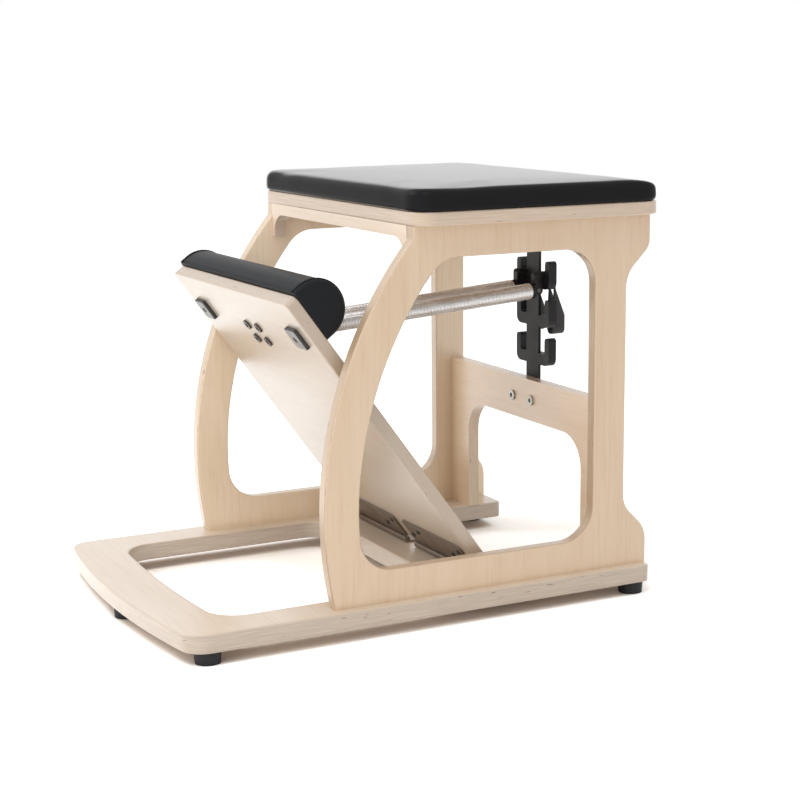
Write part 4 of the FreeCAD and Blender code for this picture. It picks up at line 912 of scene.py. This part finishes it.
def strap_mesh(low, high):
    """The band as a flat section with rounded edges round the loop, with its UV map."""
    points = strap_loop(low, high)
    middle_x, middle_y = (low.x + high.x) / 2, (low.y + high.y) / 2
    centre = Vector((0, (low.z + high.z) / 2))
    shape = bmesh.new()
    uv = shape.loops.layers.uv.new("band")
    rings, lengths = [], [0.0]
    for i, (x, z) in enumerate(points):
        before, after = points[i - 1], points[(i + 1) % len(points)]
        ahead = Vector((after[0] - before[0], after[1] - before[1])).normalized()
        outward = Vector((ahead.y, -ahead.x))
        if outward.dot(Vector((x, z)) - centre) < 0:
            outward = -outward
        share = opened(high.z - z)
        half_width = (STRAP_NECK + (STRAP_WIDTH - STRAP_NECK) * share) / 2
        centre_y = drawn_in(middle_y) + (middle_y - drawn_in(middle_y)) * share
        ring = []
        for across, thick in BAND_OUTLINE:
            rounded = BAND_EDGE if abs(across) == 1 else 1.0
            off = outward * (thick * rounded * STRAP_WEB / 2)
            spot = (middle_x + x + off.x, centre_y + across * half_width, z + off.y)
            ring.append(shape.verts.new(spot))
        rings.append(ring)
        lengths.append(lengths[-1] + math.dist(points[i], after))
    for i, ring in enumerate(rings):
        following = rings[(i + 1) % len(rings)]
        for j in range(len(BAND_OUTLINE)):
            k = (j + 1) % len(BAND_OUTLINE)
            face = shape.faces.new([ring[j], following[j], following[k], ring[k]])
            for corner, at in zip(face.loops, (i, i + 1, i + 1, i)):
                corner[uv].uv = (lengths[at], corner.vert.co.y - middle_y)
    bmesh.ops.recalc_face_normals(shape, faces=shape.faces)
    return to_mesh(shape, "strap")


band_material = webbing("black_webbing")
for side in ("left", "right"):
    low, high = (Vector(corner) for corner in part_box(f"{side}_pull_strap"))
    strap = new_piece(f"{side}_webbing_strap", strap_mesh(low, high), band_material)
    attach(strap, "frame")
    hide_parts(f"{side}_pull_strap")
print("straps", round((high.z - low.z) * 1000), "mm long")

# %% [markdown]
# ## Stitches and screws
#
# A box of stitches closes each strap, and eight screws hold each half of the hinges.
# One stitch and one screw head are made once and set on every marked point. A stitch lies along the
# direction kept with its point, and a screw head is turned its own way with a fixed seed.
# The screw head is a low dome with a cross cut into it.

# %% Stitches
stitching = Recipe("stitches", {"Long": "Float", "Thick": "Float", "Material": "Material"})
given = stitching.given
stitch = stitching.node("GeometryNodeMeshUVSphere", Segments=8, Rings=6, Radius=0.5)
size = stitching.node("ShaderNodeCombineXYZ", X=given["Thick"], Y=given["Thick"], Z=given["Long"])
stitch = stitching.node("GeometryNodeTransform", Geometry=stitch, Scale=size)
way = stitching.node("GeometryNodeInputNamedAttribute", {"data_type": "FLOAT_VECTOR"}, Name="way")
turned = stitching.node("FunctionNodeAlignRotationToVector", {"axis": "Z"}, Vector=way)
stitching.end(stitching.node("GeometryNodeInstanceOnPoints", Points=given["Geometry"], Instance=stitch,
                             Rotation=turned))
thread = plain("black_thread", (0.03, 0.03, 0.031), roughness=0.55)
STITCH_LONG, STITCH_THICK = 0.0024, 0.0008
BOX_WIDE, BOX_TALL, BOX_STITCHES = 0.014, 0.016, 5
STITCH_PROUD, BELOW_TAPER = 0.0001, 0.001
ACROSS, DOWN = (0, 1, 0), (0, 0, 1)


def marked_points(name, spots, ways=()):
    """A mesh of loose points, each of which may have a direction kept as an attribute."""
    mesh = bpy.data.meshes.new(name)
    mesh.from_pydata(spots, [], [])
    if ways:
        directions = mesh.attributes.new("way", "FLOAT_VECTOR", "POINT")
        for item, way in zip(directions.data, ways):
            item.vector = way
    return mesh


for side in ("left", "right"):
    low, high = (Vector(corner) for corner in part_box(f"{side}_pull_strap"))
    top = high.z - STRAP_TAPER - BELOW_TAPER
    front, rear = (low.y + high.y) / 2 - BOX_WIDE / 2, (low.y + high.y) / 2 + BOX_WIDE / 2
    spots, ways = [], []
    for x in (low.x - STITCH_PROUD, high.x + STITCH_PROUD):
        for step in range(BOX_STITCHES):
            y = front + BOX_WIDE * (step + 0.5) / BOX_STITCHES
            z = top - BOX_TALL * (step + 0.5) / BOX_STITCHES
            spots += [(x, y, top), (x, y, top - BOX_TALL), (x, front, z), (x, rear, z)]
            ways += [ACROSS, ACROSS, DOWN, DOWN]
    marks = marked_points("stitch_points", spots, ways)
    stitches = stitching.make(f"{side}_strap_stitches", marks, thread,
                              Long=STITCH_LONG, Thick=STITCH_THICK)
    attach(stitches, "frame")
print("stitches", len(spots), "on each strap")

# %% Screw head recipe
screwing = Recipe("screw_heads", {"Head radius": "Float", "Head height": "Float", "Slot width": "Float",
                                  "Seed": "Int", "Material": "Material"})
given = screwing.given
radius, height, width = given["Head radius"], given["Head height"], given["Slot width"]
ball = screwing.node("GeometryNodeMeshUVSphere", Segments=28, Rings=16, Radius=1.0)
dome_size = screwing.node("ShaderNodeCombineXYZ", X=radius, Y=radius, Z=height)
dome = screwing.node("GeometryNodeTransform", Geometry=ball, Scale=dome_size)
slot_place = screwing.node("ShaderNodeCombineXYZ", Z=height)
slots = []
for wide, deep in ((radius, width), (width, radius)):
    slot_size = screwing.node("ShaderNodeCombineXYZ", X=wide, Y=deep, Z=height)
    cube = screwing.node("GeometryNodeMeshCube", Size=slot_size)
    slots.append(screwing.node("GeometryNodeTransform", Geometry=cube, Translation=slot_place))
cut = screwing.tree.nodes.new("GeometryNodeMeshBoolean")
set_up(screwing.tree, cut, {"operation": "DIFFERENCE", "solver": "EXACT"}, {"Mesh_1": dome})
for slot in slots:
    link(screwing.tree, slot, cut.inputs["Mesh 2"])
spin = screwing.node("FunctionNodeRandomValue", {"data_type": "FLOAT_VECTOR"}, i0=(0.0, 0.0, 0.0),
                     i1=(0.0, 0.0, math.pi), Seed=given["Seed"])
screwing.end(screwing.node("GeometryNodeInstanceOnPoints", Points=given["Geometry"],
                           Instance=cut.outputs[0], Rotation=spin))

# %% Hinge screws
HINGE_STARTS = (0.015, -0.199)
SCREW_SPOTS = ((0.014, 0.023), (0.044, 0.037), (0.140, 0.023), (0.170, 0.037))
LEAF_TOP_BASE, LEAF_TOP_PEDAL = 0.047, 0.002
SCREW_HEAD = {"Head_radius": 0.0045, "Head_height": 0.0019, "Slot_width": 0.0012}
black_screw = plain("black_screw", (0.016, 0.015, 0.015), roughness=0.40, shine=0.3, spread=0.06)
spots = [(start + x, y) for start in HINGE_STARTS for x, y in SCREW_SPOTS]
on_base = marked_points("screw_points", [(x, HINGE.y + y, LEAF_TOP_BASE) for x, y in spots])
under_pedal = marked_points("screw_points", [(x, y, 0) for x, y in spots])
base_heads = screwing.make("base_hinge_screw_heads", on_base, black_screw, Seed=3, **SCREW_HEAD)
pedal_heads = screwing.make("pedal_hinge_screw_heads", under_pedal, black_screw, Seed=8, **SCREW_HEAD)
flipped = Matrix.Translation((0, 0, LEAF_TOP_PEDAL)) @ Matrix.Rotation(math.pi, 4, "X")
pedal_heads.data.transform(pedal_matrix @ flipped)
for heads, body, node in ((base_heads, "frame", "base_hinge_screws"),
                          (pedal_heads, "pedal", "pedal_hinge_screws")):
    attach(heads, body)
    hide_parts(node)
print("screw heads", len(spots), "on each side,", len(base_heads.data.polygons), "faces")

# %% [markdown]
# ## The finished size
#
# The dressed chair should fill the same box as the measured one, give or take the swell of the cushion.
# How far each corner of the box moved is printed.

# %% Sizes before and after
dressed_box = [list(corner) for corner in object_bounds()]
for before, after in zip(frame_box, dressed_box):
    print("box corner moved by", [round((b - a) * 1000, 1) for a, b in zip(before, after)], "mm")
